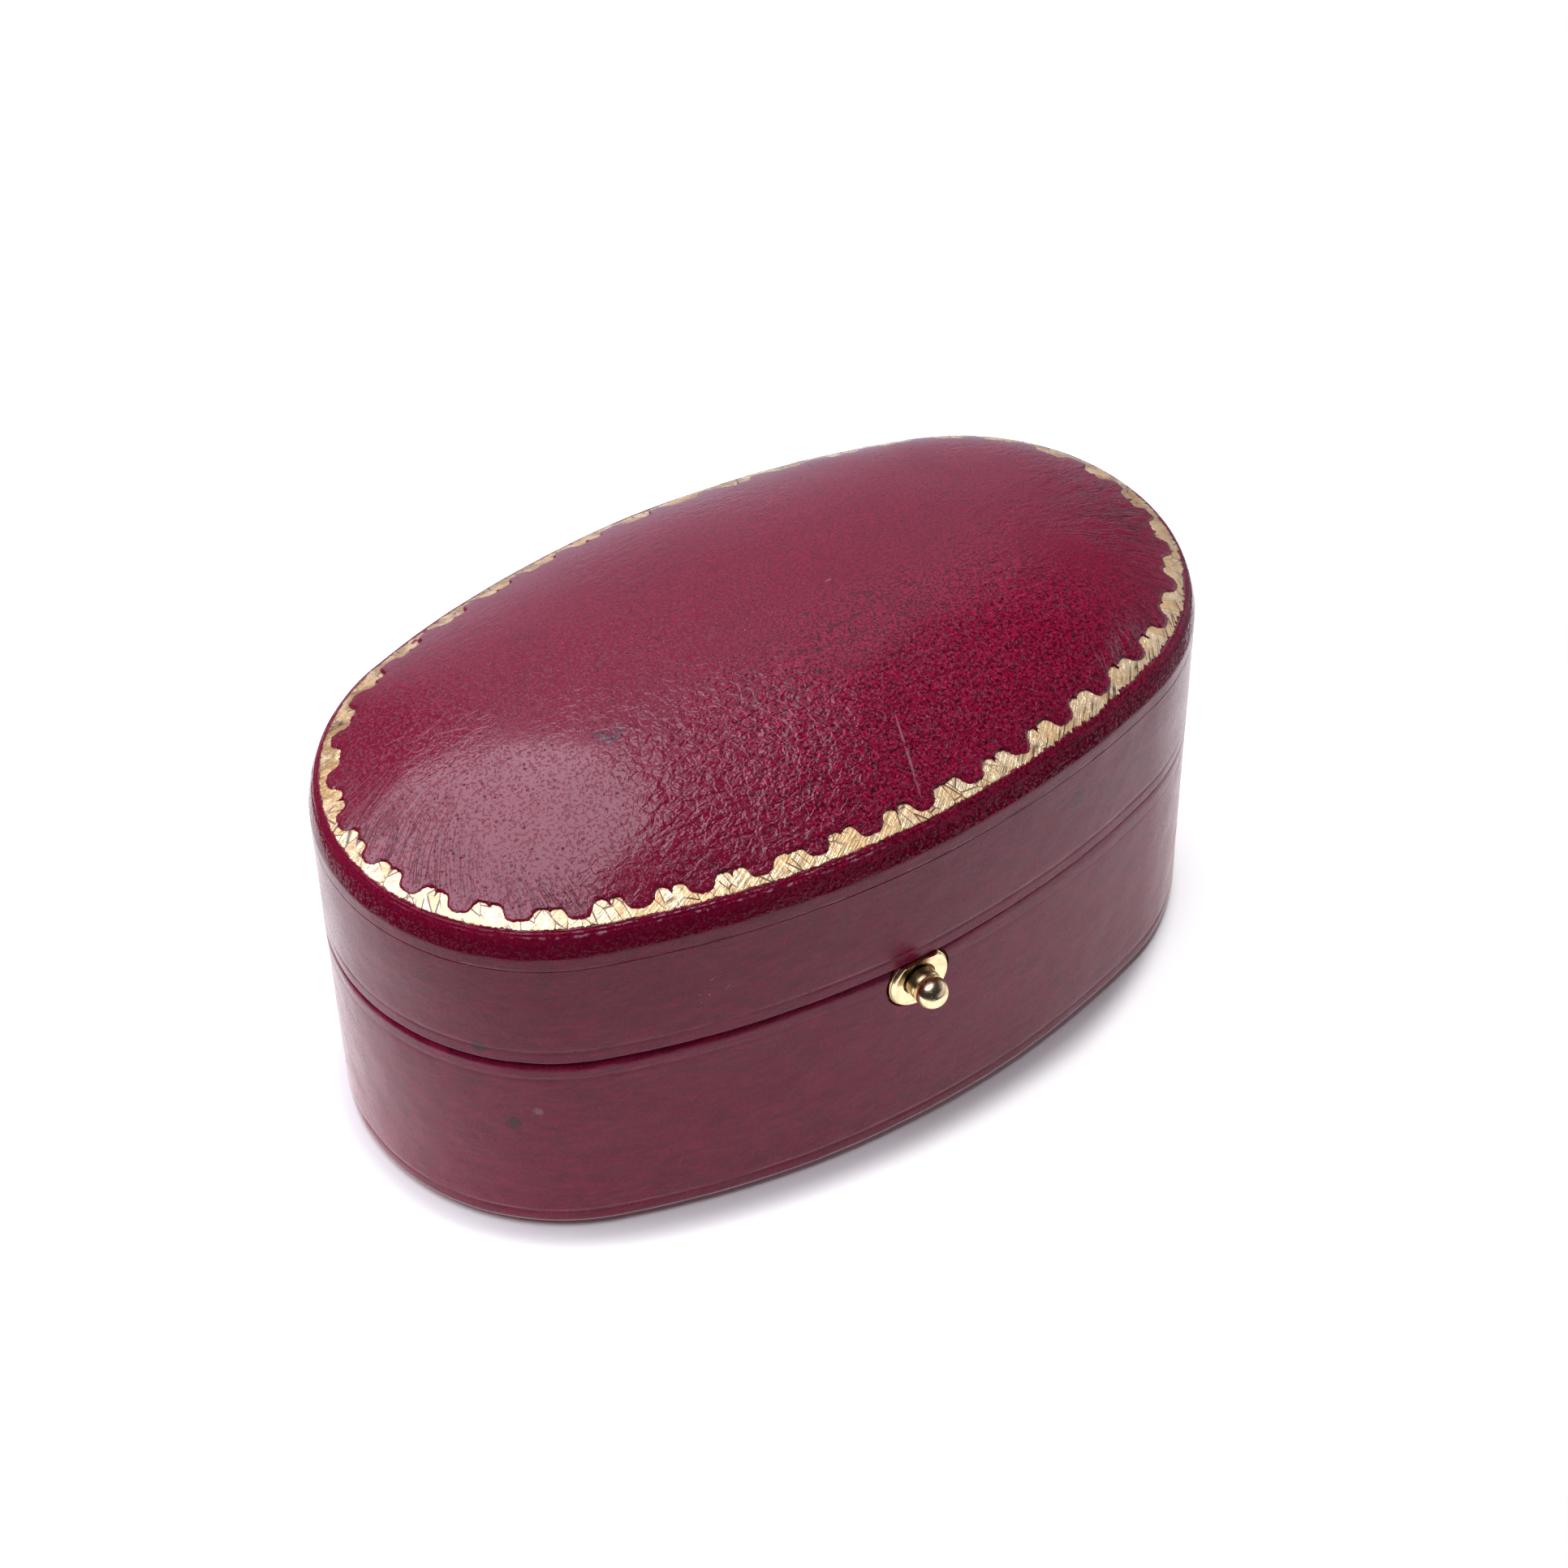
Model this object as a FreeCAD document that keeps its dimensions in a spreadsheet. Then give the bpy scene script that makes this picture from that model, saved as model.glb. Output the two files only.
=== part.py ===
import FreeCAD, Part
import Sketcher
import math
import os
import re

# Oval leather jewellery case with a padded, domed lid, a brass push button and a brass back hinge.
# Millimetres, +Z up. The origin is the middle of the face that the case stands on. The long axis
# runs along X, the push button is on the front at -Y, and the hinge is at the back at +Y.

SIZES = {
    # plan of the case: an oval of four tangent arcs
    "half_length": 37.5,
    "half_width": 21.9,
    "end_radius": 18.6,
    # heights and the padded top
    "joint_height": 19.5,
    "lid_side_height": 11.8,
    "corner_radius": 2.0,
    "dome_height": 5.4,
    "dome_fullness": 2.6,
    "cap_turn_down": 1.6,
    # carcass and covering
    "leather": 0.7,
    "wall": 2.6,
    "floor_board": 2.0,
    "lid_board_thickness": 2.2,
    "bottom_panel_thickness": 0.4,
    "bottom_panel_margin": 1.5,
    "turn_in": 6.0,
    "edge_round": 0.5,
    # lining and pads
    "velvet_wall": 1.3,
    "lip_height": 1.0,
    "lip_thickness": 0.6,
    "lid_lining_thickness": 0.4,
    "lining_margin": 0.3,
    "pad_clearance": 0.2,
    "pad_card": 1.0,
    "pad_height": 10.0,
    "pad_crown": 3.0,
    "pad_tuck": 0.75,
    "ring_slot": 2.4,
    "lid_pad_thickness": 2.8,
    "lid_pad_crown": 1.4,
    "lid_pad_tuck": 0.35,
    # hinge
    "hinge_length": 26.0,
    "hinge_inset": 1.3,
    "hinge_bevel": 51.0,
    "barrel_radius": 1.2,
    "barrel_clearance": 0.15,
    "pin_radius": 0.5,
    "pin_clearance": 0.05,
    "knuckle_gap": 0.1,
    "leaf": 0.5,
    "leaf_depth": 4.5,
    "brad_radius": 0.4,
    "brad_length": 1.8,
    "brad_spacing": 9.0,
    # push button and catch
    "button_drop": 2.1,
    "button_travel": 0.6,
    "stem_radius": 1.15,
    "stem_clearance": 0.05,
    "ball_radius": 1.34,
    "ball_stand_off": 1.84,
    "tail_radius": 0.7,
    "washer_radius": 1.6,
    "washer_thickness": 0.4,
    "button_play": 0.05,
    "plate_half_width": 2.7,
    "plate_top_half_width": 1.85,
    "plate_drop": 2.7,
    "plate_proud": 0.1,
    "plate_recess": 0.1,
    "plate_gap": 0.12,
    "collar_height": 0.5,
    "collar_radius": 2.3,
    "collar_rim_radius": 1.85,
    "collar_bore": 1.6,
    "collar_bore_room": 0.35,
    "guide_radius": 1.65,
    "flange_half_length": 4.2,
    "flange_margin": 0.8,
    "mortise_skin": 1.0,
    "mortise_play": 0.3,
    "spring_half_width": 1.5,
    "spring_thickness": 0.25,
    "spring_foot_level": 4.7,
    "spring_foot_height": 4.0,
    "spring_crank": 1.5,
    "hook_reach": 0.7,
    "hook_nose": 0.5,
    "hook_height": 1.4,
    "hook_play": 0.15,
    "keeper_clearance": 0.25,
    "rivet_radius": 0.35,
    "rivet_spacing": 0.8,
    "pin_length": 2.0,
    "catch_pin_spacing": 3.4,
}

# Formulas in the names above, read as lengths from the sheet
END_CENTRE = "(half_length - end_radius)"
SIDE_CENTRE = (
    "(((half_length - end_radius)^2 + half_width^2 - end_radius^2)"
    " / (2 * (half_width - end_radius)) - half_width)"
)
INNER = "(leather + wall)"
PAST_WALL = "(leather + 2 * wall)"
LINED = "(leather + wall + velvet_wall)"
CARCASS_FOOT = "(bottom_panel_thickness + leather)"
FLOOR_TOP = "(bottom_panel_thickness + leather + floor_board)"
BASE_WALL_TOP = "(joint_height - leather)"
LID_WALL_FOOT = "(joint_height + leather)"
CORNER = "(joint_height + lid_side_height)"
SEAM = "(joint_height + lid_side_height - cap_turn_down)"
LID_BOARD_TOP = "(joint_height + lid_side_height + corner_radius - leather)"
LID_BOARD_FOOT = "(joint_height + lid_side_height + corner_radius - leather - lid_board_thickness)"
HINGE_BACK = "(half_width - hinge_inset)"
LEAF_FACE = "(half_width - leather - wall)"
BUTTON_LEVEL = "(joint_height - button_drop)"
MORTISE = "(leather + mortise_skin)"
SPRING = "(leather + mortise_skin + washer_thickness + 2 * button_play)"
HOOK_FOOT = "(joint_height + leather + hook_play)"
MORTISE_HALF = "(spring_half_width + mortise_play)"
# The ball goes into the collar when the button is pressed, and stops short of the bore's floor
COLLAR_BORE_FLOOR = "(ball_radius + button_travel - ball_stand_off + collar_bore_room)"

# Stations of the lofts: angles round an edge, and shares of the plan up a dome or a cushion
CORNER_ANGLES = (0, 15, 30, 45, 60)
DOME_STEPS = (0.97, 0.93, 0.88, 0.82, 0.74, 0.64, 0.52, 0.38, 0.22, 0.06)
CROWN_ANGLES = (0, 20, 40, 60, 80)
CROWN_FLAT = "0.5"
KNUCKLES = 5

doc = FreeCAD.newDocument("JewelleryCase")
sheet = doc.addObject("Spreadsheet::Sheet", "Sizes")
for row, (size_name, size_value) in enumerate(SIZES.items(), start=1):
    sheet.set(f"A{row}", size_name)
    sheet.set(f"B{row}", str(size_value))
    sheet.setAlias(f"B{row}", size_name)
doc.recompute()


def linked(formula):
    """Turn a formula in size names into one that reads the sheet."""
    def link(word):
        return "Sizes." + word[0] if word[0] in SIZES else word[0]
    return re.sub(r"[a-z_]+", link, formula)


def measure(formula):
    return float(sheet.evalExpression(linked(formula)))


def bind(item, **formulas):
    """Bind properties to the sheet; in a name, two underscores stand for a dot."""
    for name, formula in formulas.items():
        item.setExpression(name.replace("__", "."), linked(formula))


def at_inset(inset):
    """Y of a point of the front that lies this far inside the outline."""
    return f"({inset} - half_width)"


# Sketches and bodies

def new_body(label):
    return doc.addObject("PartDesign::Body", label)


def new_sketch(body, name, role):
    sketch = body.newObject("Sketcher::SketchObject", name)
    plane = [item for item in body.Origin.OriginFeatures if item.Role == role][0]
    sketch.AttachmentSupport = (plane, [""])
    sketch.MapMode = "FlatFace"
    return sketch


def constrain(sketch, kind, *items, formula):
    """Add a driving size to a sketch, bound to the sheet."""
    number = sketch.addConstraint(Sketcher.Constraint(kind, *items, measure(formula)))
    sketch.setExpression(f"Constraints[{number}]", linked(formula))


def draw_oval(sketch, inset, scale="1"):
    """Draw the case's plan, moved inwards by inset and then scaled about the centre."""
    centre_x = f"{END_CENTRE} * {scale}"
    centre_y = f"{SIDE_CENTRE} * {scale}"
    radius = f"(end_radius - {inset}) * {scale}"
    end_x, side_y, end_radius = measure(centre_x), measure(centre_y), measure(radius)
    side_radius = math.hypot(end_x, side_y) + end_radius
    turn = math.atan2(side_y, end_x)
    arcs = []
    for x, y, size, first, last in (
        (end_x, 0, end_radius, -turn, turn),
        (0, -side_y, side_radius, turn, math.pi - turn),
        (-end_x, 0, end_radius, math.pi - turn, math.pi + turn),
        (0, side_y, side_radius, math.pi + turn, 2 * math.pi - turn),
    ):
        circle = Part.Circle(FreeCAD.Vector(x, y, 0), FreeCAD.Vector(0, 0, 1), size)
        arcs.append(sketch.addGeometry(Part.ArcOfCircle(circle, first, last), False))
    right, back, left, front = arcs
    for arc, following in zip(arcs, arcs[1:] + arcs[:1]):
        sketch.addConstraint(Sketcher.Constraint("Tangent", arc, 2, following, 1))
    for arc, axis in ((right, -1), (back, -2), (left, -1)):
        sketch.addConstraint(Sketcher.Constraint("PointOnObject", arc, 3, axis))
    sketch.addConstraint(Sketcher.Constraint("Equal", back, front))
    constrain(sketch, "DistanceX", -1, 1, right, 3, formula=centre_x)
    constrain(sketch, "DistanceX", left, 3, -1, 1, formula=centre_x)
    constrain(sketch, "DistanceY", back, 3, -1, 1, formula=centre_y)
    constrain(sketch, "Radius", right, formula=radius)


def oval_sketch(body, name, level, *ovals):
    """A level sketch with one oval for each (inset, scale) pair."""
    sketch = new_sketch(body, name, "XY_Plane")
    bind(sketch, AttachmentOffset__Base__z=level)
    for inset, scale in ovals:
        draw_oval(sketch, inset, scale)
    return sketch


def pad_oval(body, name, bottom, top, *insets):
    """Pad an oval, or a ring between two, from one level up to another."""
    sketch = oval_sketch(body, name + "_outline", bottom, *((inset, "1") for inset in insets))
    pad = body.newObject("PartDesign::Pad", name)
    pad.Profile = sketch
    bind(pad, Length=f"{top} - {bottom}")
    return pad


def loft_ovals(body, name, stations):
    """Loft through ovals, each given as (level, inset, scale)."""
    sections = []
    for number, (level, inset, scale) in enumerate(stations):
        sections.append(oval_sketch(body, f"{name}_{number}", level, (inset, scale)))
    loft = body.newObject("PartDesign::AdditiveLoft", name)
    loft.Profile = sections[0]
    loft.Sections = sections[1:]
    loft.Ruled = True
    return loft


def draw_outline(sketch, points):
    """Draw straight lines through points, each given as two formulas."""
    corners = [FreeCAD.Vector(measure(across), measure(up), 0) for across, up in points]
    lines = []
    for start, end in zip(corners, corners[1:] + corners[:1]):
        lines.append(sketch.addGeometry(Part.LineSegment(start, end), False))
    for line, following in zip(lines, lines[1:] + lines[:1]):
        sketch.addConstraint(Sketcher.Constraint("Coincident", line, 2, following, 1))
    for line, (across, up) in zip(lines, points):
        constrain(sketch, "DistanceX", -1, 1, line, 1, formula=across)
        constrain(sketch, "DistanceY", -1, 1, line, 1, formula=up)


def pad_across(label, points, width):
    """A body whose outline in the YZ plane runs evenly to both sides of the middle."""
    body = new_body(label)
    sketch = new_sketch(body, label + "_outline", "YZ_Plane")
    draw_outline(sketch, points)
    pad = body.newObject("PartDesign::Pad", label + "_pad")
    pad.Profile = sketch
    pad.SideType = "Symmetric"
    bind(pad, Length=width)
    return body


# Primitives and booleans

TURNS = {
    "x": FreeCAD.Rotation(FreeCAD.Vector(0, 1, 0), 90),
    "y": FreeCAD.Rotation(FreeCAD.Vector(1, 0, 0), -90),
    "z": FreeCAD.Rotation(),
}


def block(label, left, right, front, back, bottom, top):
    item = doc.addObject("Part::Box", label)
    bind(item, Length=f"{right} - ({left})", Width=f"{back} - {front}", Height=f"{top} - {bottom}")
    bind(item, Placement__Base__x=left, Placement__Base__y=front, Placement__Base__z=bottom)
    return item


def place(item, axis, x, y, z):
    item.Placement = FreeCAD.Placement(FreeCAD.Vector(), TURNS[axis])
    bind(item, Placement__Base__x=x, Placement__Base__y=y, Placement__Base__z=z)
    return item


def rod(label, axis, radius, length, x, y, z):
    item = doc.addObject("Part::Cylinder", label)
    bind(item, Radius=radius, Height=length)
    return place(item, axis, x, y, z)


def fuse(label, *items):
    item = doc.addObject("Part::MultiFuse", label)
    item.Shapes = list(items)
    return item


def cut(label, base, *tools):
    item = doc.addObject("Part::Cut", label)
    item.Base = base
    item.Tool = tools[0] if len(tools) == 1 else fuse(label + "_cutter", *tools)
    return item


def group(label, *items):
    item = doc.addObject("Part::Compound", label)
    item.Links = list(items)
    return item


# Hinge: a straight barrel in a V notch along the back, with folded leaves behind the lining

hinge_wedge = pad_across(
    "hinge_wedge",
    [
        (HINGE_BACK, "joint_height"),
        (f"{HINGE_BACK} + half_width", "joint_height - half_width * tan(hinge_bevel)"),
        (f"{HINGE_BACK} + half_width", "joint_height + half_width * tan(hinge_bevel)"),
    ],
    "2 * half_length",
)
hinge_groove = rod(
    "hinge_groove", "x", "barrel_radius + barrel_clearance", "hinge_length + 2 * knuckle_gap",
    "-hinge_length / 2 - knuckle_gap", HINGE_BACK, "joint_height",
)
hinge_notch = fuse("hinge_notch", hinge_wedge, hinge_groove)
hinge_pin = rod(
    "hinge_pin", "x", "pin_radius", "hinge_length", "-hinge_length / 2", HINGE_BACK, "joint_height",
)

HINGE_ENDS = ("-hinge_length / 2", "hinge_length / 2")
STRIP_END = f"({HINGE_BACK} - barrel_radius - barrel_clearance)"
KNUCKLE_PITCH = f"(hinge_length / {KNUCKLES})"
KNUCKLE = f"({KNUCKLE_PITCH} - knuckle_gap)"


def hinge_brads(label, level):
    """Brads that nail a leaf to the inner face of the wall."""
    brads = []
    for number in (-1, 0, 1):
        brads.append(rod(
            f"{label}_{number + 2}", "y", "brad_radius", "brad_length",
            f"{number} * brad_spacing", LEAF_FACE, level,
        ))
    return group(label, *brads)


def hinge_leaf(label, strip, plate, places, bore, brads):
    """A leaf: knuckles, the strip that crosses the rim and the plate behind the lining."""
    pieces = [
        block(label + "_strip", *HINGE_ENDS, LEAF_FACE, STRIP_END, *strip),
        block(label + "_plate", *HINGE_ENDS, LEAF_FACE, f"({LEAF_FACE} + leaf)", *plate),
    ]
    for number in places:
        start = f"{number} * {KNUCKLE_PITCH} - {KNUCKLE} / 2"
        end = f"{number} * {KNUCKLE_PITCH} + {KNUCKLE} / 2"
        name = f"{label}_knuckle_{number + 3}"
        pieces.append(rod(name, "x", "barrel_radius", KNUCKLE, start, HINGE_BACK, "joint_height"))
        pieces.append(block(
            name + "_root", start, end, STRIP_END, f"({HINGE_BACK} - barrel_radius / 2)", *strip,
        ))
    hole = rod(label + "_bore", "x", bore, "hinge_length", HINGE_ENDS[0], HINGE_BACK, "joint_height")
    return cut(label, fuse(label + "_blank", *pieces), hole, brads)


BASE_STRIP = (BASE_WALL_TOP, f"({BASE_WALL_TOP} + leaf)")
BASE_PLATE = (f"({BASE_WALL_TOP} - leaf_depth)", f"({BASE_WALL_TOP} + leaf)")
LID_STRIP = (f"({LID_WALL_FOOT} - leaf)", LID_WALL_FOOT)
LID_PLATE = (f"({LID_WALL_FOOT} - leaf)", f"({LID_WALL_FOOT} + leaf_depth)")

hinge_base_brads = hinge_brads("hinge_base_brads", f"{BASE_WALL_TOP} - leaf_depth / 2")
hinge_lid_brads = hinge_brads("hinge_lid_brads", f"{LID_WALL_FOOT} + leaf_depth / 2")
hinge_base_leaf = hinge_leaf(
    "hinge_base_leaf", BASE_STRIP, BASE_PLATE, (-2, 0, 2), "pin_radius", hinge_base_brads,
)
hinge_lid_leaf = hinge_leaf(
    "hinge_lid_leaf", LID_STRIP, LID_PLATE, (-1, 1), "pin_radius + pin_clearance", hinge_lid_brads,
)

# Rebates that the leaves lie in: through the rim's leather, and in the inner face of each wall
base_rim_rebate = block(
    "base_rim_rebate", *HINGE_ENDS, "0", "(half_width + leather)", BASE_WALL_TOP, "joint_height",
)
lid_rim_rebate = block(
    "lid_rim_rebate", *HINGE_ENDS, "0", "(half_width + leather)", "joint_height", LID_WALL_FOOT,
)
base_leaf_rebate = block(
    "base_leaf_rebate", *HINGE_ENDS, "0", f"({LEAF_FACE} + leaf)",
    f"({BASE_WALL_TOP} - leaf_depth)", BASE_WALL_TOP,
)
lid_leaf_rebate = block(
    "lid_leaf_rebate", *HINGE_ENDS, "0", f"({LEAF_FACE} + leaf)",
    LID_WALL_FOOT, f"({LID_WALL_FOOT} + leaf_depth)",
)

# Catch: the button bends a spring whose hook holds a keeper in the lid's rim


def plate_tongue(label, grow, back):
    """The brass plate round the button: a round foot, slanted shoulders and a cut-off top."""
    body = new_body(label)
    sketch = new_sketch(body, label + "_outline", "XZ_Plane")
    bind(sketch, AttachmentOffset__Base__z="half_width + plate_proud")
    half = f"(plate_half_width + {grow})"
    top_half = f"(plate_top_half_width + {grow})"
    drop = f"(plate_drop + {grow})"
    top = f"(joint_height - plate_recess + {grow})"
    radius = f"({half} ^ 2 + {drop} ^ 2) / (2 * {drop})"
    corners = [(f"-{half}", BUTTON_LEVEL), (f"-{top_half}", top), (top_half, top), (half, BUTTON_LEVEL)]
    points = [FreeCAD.Vector(measure(across), measure(up), 0) for across, up in corners]
    lines = []
    for start, end in zip(points, points[1:]):
        lines.append(sketch.addGeometry(Part.LineSegment(start, end), False))
    foot = FreeCAD.Vector(0, measure(f"{BUTTON_LEVEL} - {drop}"), 0)
    arc = sketch.addGeometry(Part.Arc(points[0], foot, points[3]), False)
    for line, following in zip(lines, lines[1:]):
        sketch.addConstraint(Sketcher.Constraint("Coincident", line, 2, following, 1))
    sketch.addConstraint(Sketcher.Constraint("Coincident", lines[0], 1, arc, 1))
    sketch.addConstraint(Sketcher.Constraint("Coincident", lines[2], 2, arc, 2))
    for (line, end), (across, up) in zip(((0, 1), (1, 1), (2, 1), (2, 2)), corners):
        constrain(sketch, "DistanceX", -1, 1, lines[line], end, formula=across)
        constrain(sketch, "DistanceY", -1, 1, lines[line], end, formula=up)
    constrain(sketch, "DistanceY", -1, 1, arc, 3, formula=f"{BUTTON_LEVEL} - {drop} + {radius}")
    pad = body.newObject("PartDesign::Pad", label + "_pad")
    pad.Profile = sketch
    pad.Reversed = True
    bind(pad, Length=f"plate_proud + {back}")
    return body


def button_rod(label, radius, start, end):
    """A round along the button's axis, between two insets."""
    return rod(label, "y", radius, f"{end} - ({start})", "0", at_inset(start), BUTTON_LEVEL)


catch_mortise = block(
    "catch_mortise", f"-{MORTISE_HALF}", MORTISE_HALF, at_inset(MORTISE), at_inset(PAST_WALL),
    "spring_foot_level", "(joint_height + leather)",
)
tongue = plate_tongue("catch_tongue", "0", "leather")
tongue_opening = plate_tongue("tongue_opening", "plate_gap", "2 * leather")
flange = block(
    "catch_flange", "-flange_half_length", "flange_half_length", at_inset("flange_margin"),
    at_inset(INNER), BASE_WALL_TOP, "(joint_height - plate_recess)",
)
flange_bridge = block(
    "catch_flange_bridge", "-plate_top_half_width", "plate_top_half_width", at_inset("0"),
    at_inset("flange_margin"), BASE_WALL_TOP, "(joint_height - plate_recess)",
)
flange_opening = block(
    "flange_opening", "-flange_half_length", "flange_half_length", at_inset("flange_margin"),
    at_inset(PAST_WALL), BASE_WALL_TOP, "joint_height",
)
bridge_opening = block(
    "bridge_opening", "-plate_top_half_width - plate_gap", "plate_top_half_width + plate_gap",
    at_inset("(-plate_proud)"), at_inset("flange_margin"), BASE_WALL_TOP, "joint_height",
)
collar = doc.addObject("Part::Cone", "catch_collar")
bind(collar, Radius1="collar_rim_radius", Radius2="collar_radius", Height="collar_height")
place(collar, "y", "0", at_inset("(-plate_proud - collar_height)"), BUTTON_LEVEL)
button_guide = button_rod("button_guide", "guide_radius", "leather", MORTISE)
stem_bore = button_rod(
    "stem_bore", "stem_radius + stem_clearance", "(-plate_proud - collar_height)", MORTISE,
)
collar_bore = button_rod(
    "collar_bore_cut", "collar_bore", "(-plate_proud - collar_height)", COLLAR_BORE_FLOOR,
)


def rim_pins(label, bottom, top):
    """Two pins through a plate on the rim, one at each side of the hook."""
    pins = []
    for side, sign in (("left", "-"), ("right", "")):
        pins.append(rod(
            f"{label}_{side}", "z", "brad_radius", f"{top} - {bottom}", f"{sign}catch_pin_spacing",
            at_inset(f"({INNER} + flange_margin) / 2"), bottom,
        ))
    return group(label, *pins)


catch_plate_pins = rim_pins(
    "catch_plate_pins", f"({BASE_WALL_TOP} - pin_length)", "(joint_height - plate_recess)",
)
catch_plate = cut(
    "catch_plate", fuse("catch_plate_blank", tongue, flange, flange_bridge, collar, button_guide),
    stem_bore, collar_bore, catch_mortise, catch_plate_pins,
)

button_stem = button_rod(
    "button_stem", "stem_radius", "(-ball_stand_off)", f"({MORTISE} + button_play)",
)
button_tail = button_rod(
    "button_tail", "tail_radius", MORTISE, f"({MORTISE} + button_play + washer_thickness)",
)
button_ball = doc.addObject("Part::Sphere", "button_ball")
bind(button_ball, Radius="ball_radius")
place(button_ball, "y", "0", at_inset("(-ball_stand_off)"), BUTTON_LEVEL)
push_button = fuse("push_button", button_ball, button_stem, button_tail)
button_washer = cut(
    "button_washer",
    button_rod(
        "button_washer_blank", "washer_radius", f"({MORTISE} + button_play)",
        f"({MORTISE} + button_play + washer_thickness)",
    ),
    button_tail,
)

SPRING_FOOT_TOP = "(spring_foot_level + spring_foot_height)"
spring_blank = pad_across(
    "catch_spring_blank",
    [
        (at_inset(MORTISE), "spring_foot_level"),
        (at_inset(MORTISE), SPRING_FOOT_TOP),
        (at_inset(SPRING), f"{SPRING_FOOT_TOP} + spring_crank"),
        (at_inset(SPRING), HOOK_FOOT),
        (at_inset(f"({SPRING} - hook_reach)"), HOOK_FOOT),
        (at_inset(f"({SPRING} - hook_reach)"), f"{HOOK_FOOT} + hook_nose"),
        (at_inset(SPRING), f"{HOOK_FOOT} + hook_height"),
        (at_inset(f"({SPRING} + spring_thickness)"), f"{HOOK_FOOT} + hook_height"),
        (at_inset(f"({SPRING} + spring_thickness)"), f"{SPRING_FOOT_TOP} + spring_crank"),
        (at_inset(f"({MORTISE} + spring_thickness)"), SPRING_FOOT_TOP),
        (at_inset(f"({MORTISE} + spring_thickness)"), "spring_foot_level"),
    ],
    "2 * spring_half_width",
)
rivets = []
for side, sign in (("left", "-"), ("right", "")):
    rivets.append(rod(
        f"spring_rivet_{side}", "y", "rivet_radius", "mortise_skin / 2 + spring_thickness",
        f"{sign}rivet_spacing", at_inset("(leather + mortise_skin / 2)"),
        "spring_foot_level + spring_foot_height / 2",
    ))
spring_rivets = group("spring_rivets", *rivets)
catch_spring = cut("catch_spring", spring_blank, spring_rivets)

keeper_mouth = block(
    "keeper_mouth", f"-{MORTISE_HALF}", MORTISE_HALF, at_inset(f"({SPRING} - keeper_clearance)"),
    at_inset(PAST_WALL), "joint_height", LID_WALL_FOOT,
)
keeper_blank = block(
    "keeper_plate_blank", "-flange_half_length", "flange_half_length", at_inset("flange_margin"),
    at_inset(INNER), "(joint_height + plate_recess)", LID_WALL_FOOT,
)
keeper_opening = block(
    "keeper_opening", "-flange_half_length", "flange_half_length", at_inset("flange_margin"),
    at_inset(PAST_WALL), "joint_height", LID_WALL_FOOT,
)
hook_mortise = block(
    "hook_mortise", f"-{MORTISE_HALF}", MORTISE_HALF,
    at_inset(f"({SPRING} - hook_reach - mortise_play)"), at_inset(PAST_WALL),
    "joint_height", f"({HOOK_FOOT} + hook_height + mortise_play)",
)
keeper_pins = rim_pins("keeper_pins", "(joint_height + plate_recess)", f"({LID_WALL_FOOT} + pin_length)")
keeper_plate = cut("keeper_plate", keeper_blank, keeper_mouth, keeper_pins)

# Base: a wooden ring and floor, covered in leather that is turned in over the rim and underneath

bottom_panel = new_body("bottom_panel")
pad_oval(bottom_panel, "bottom_panel_sheet", "0", "bottom_panel_thickness", "bottom_panel_margin")

base_floor = new_body("base_floor")
pad_oval(base_floor, "base_floor_board", CARCASS_FOOT, FLOOR_TOP, INNER)

base_wall_blank = new_body("base_wall_blank")
pad_oval(base_wall_blank, "base_wall_ring", CARCASS_FOOT, BASE_WALL_TOP, "leather", INNER)
base_wall = cut(
    "base_wall", base_wall_blank, hinge_notch, base_leaf_rebate, hinge_base_brads, catch_mortise,
    button_guide, spring_rivets, catch_plate_pins,
)


def round_outer_edges(body, feature, *levels):
    """Round the outline's edges at the given levels."""
    doc.recompute()
    heights = [measure(level) for level in levels]
    radii = [measure("end_radius"), measure(f"{SIDE_CENTRE} + half_width")]
    names = []
    for number, edge in enumerate(feature.Shape.Edges, start=1):
        box = edge.BoundBox
        level_edge = any(abs(box.ZMin - z) < 1e-4 and abs(box.ZMax - z) < 1e-4 for z in heights)
        if level_edge and any(abs(edge.Curve.Radius - radius) < 1e-4 for radius in radii):
            names.append(f"Edge{number}")
    fillet = body.newObject("PartDesign::Fillet", body.Label + "_rounding")
    fillet.Base = (feature, names)
    bind(fillet, Radius="edge_round")


base_leather_blank = new_body("base_leather_blank")
pad_oval(base_leather_blank, "base_side", "bottom_panel_thickness", "joint_height", "0", "leather")
pad_oval(base_leather_blank, "base_rim", BASE_WALL_TOP, "joint_height", "(leather / 2)", INNER)
base_skin = pad_oval(
    base_leather_blank, "base_turn_in", "bottom_panel_thickness", CARCASS_FOOT, "(leather / 2)", "turn_in",
)
round_outer_edges(base_leather_blank, base_skin, "bottom_panel_thickness", "joint_height")
base_leather = cut(
    "base_leather", base_leather_blank, hinge_notch, base_rim_rebate, tongue_opening, flange_opening,
    bridge_opening,
)

base_lining = new_body("base_lining")
pad_oval(base_lining, "base_lining_wall", FLOOR_TOP, "joint_height", INNER, LINED)
pad_oval(
    base_lining, "base_lining_lip", FLOOR_TOP, "(joint_height + lip_height)",
    f"({LINED} - lip_thickness)", LINED,
)

pad_board = new_body("pad_board")
PAD_INSET = f"({LINED} + pad_clearance)"
PAD_FOOT = f"({FLOOR_TOP} + pad_card)"
pad_oval(pad_board, "pad_board_card", FLOOR_TOP, PAD_FOOT, PAD_INSET)


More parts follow.
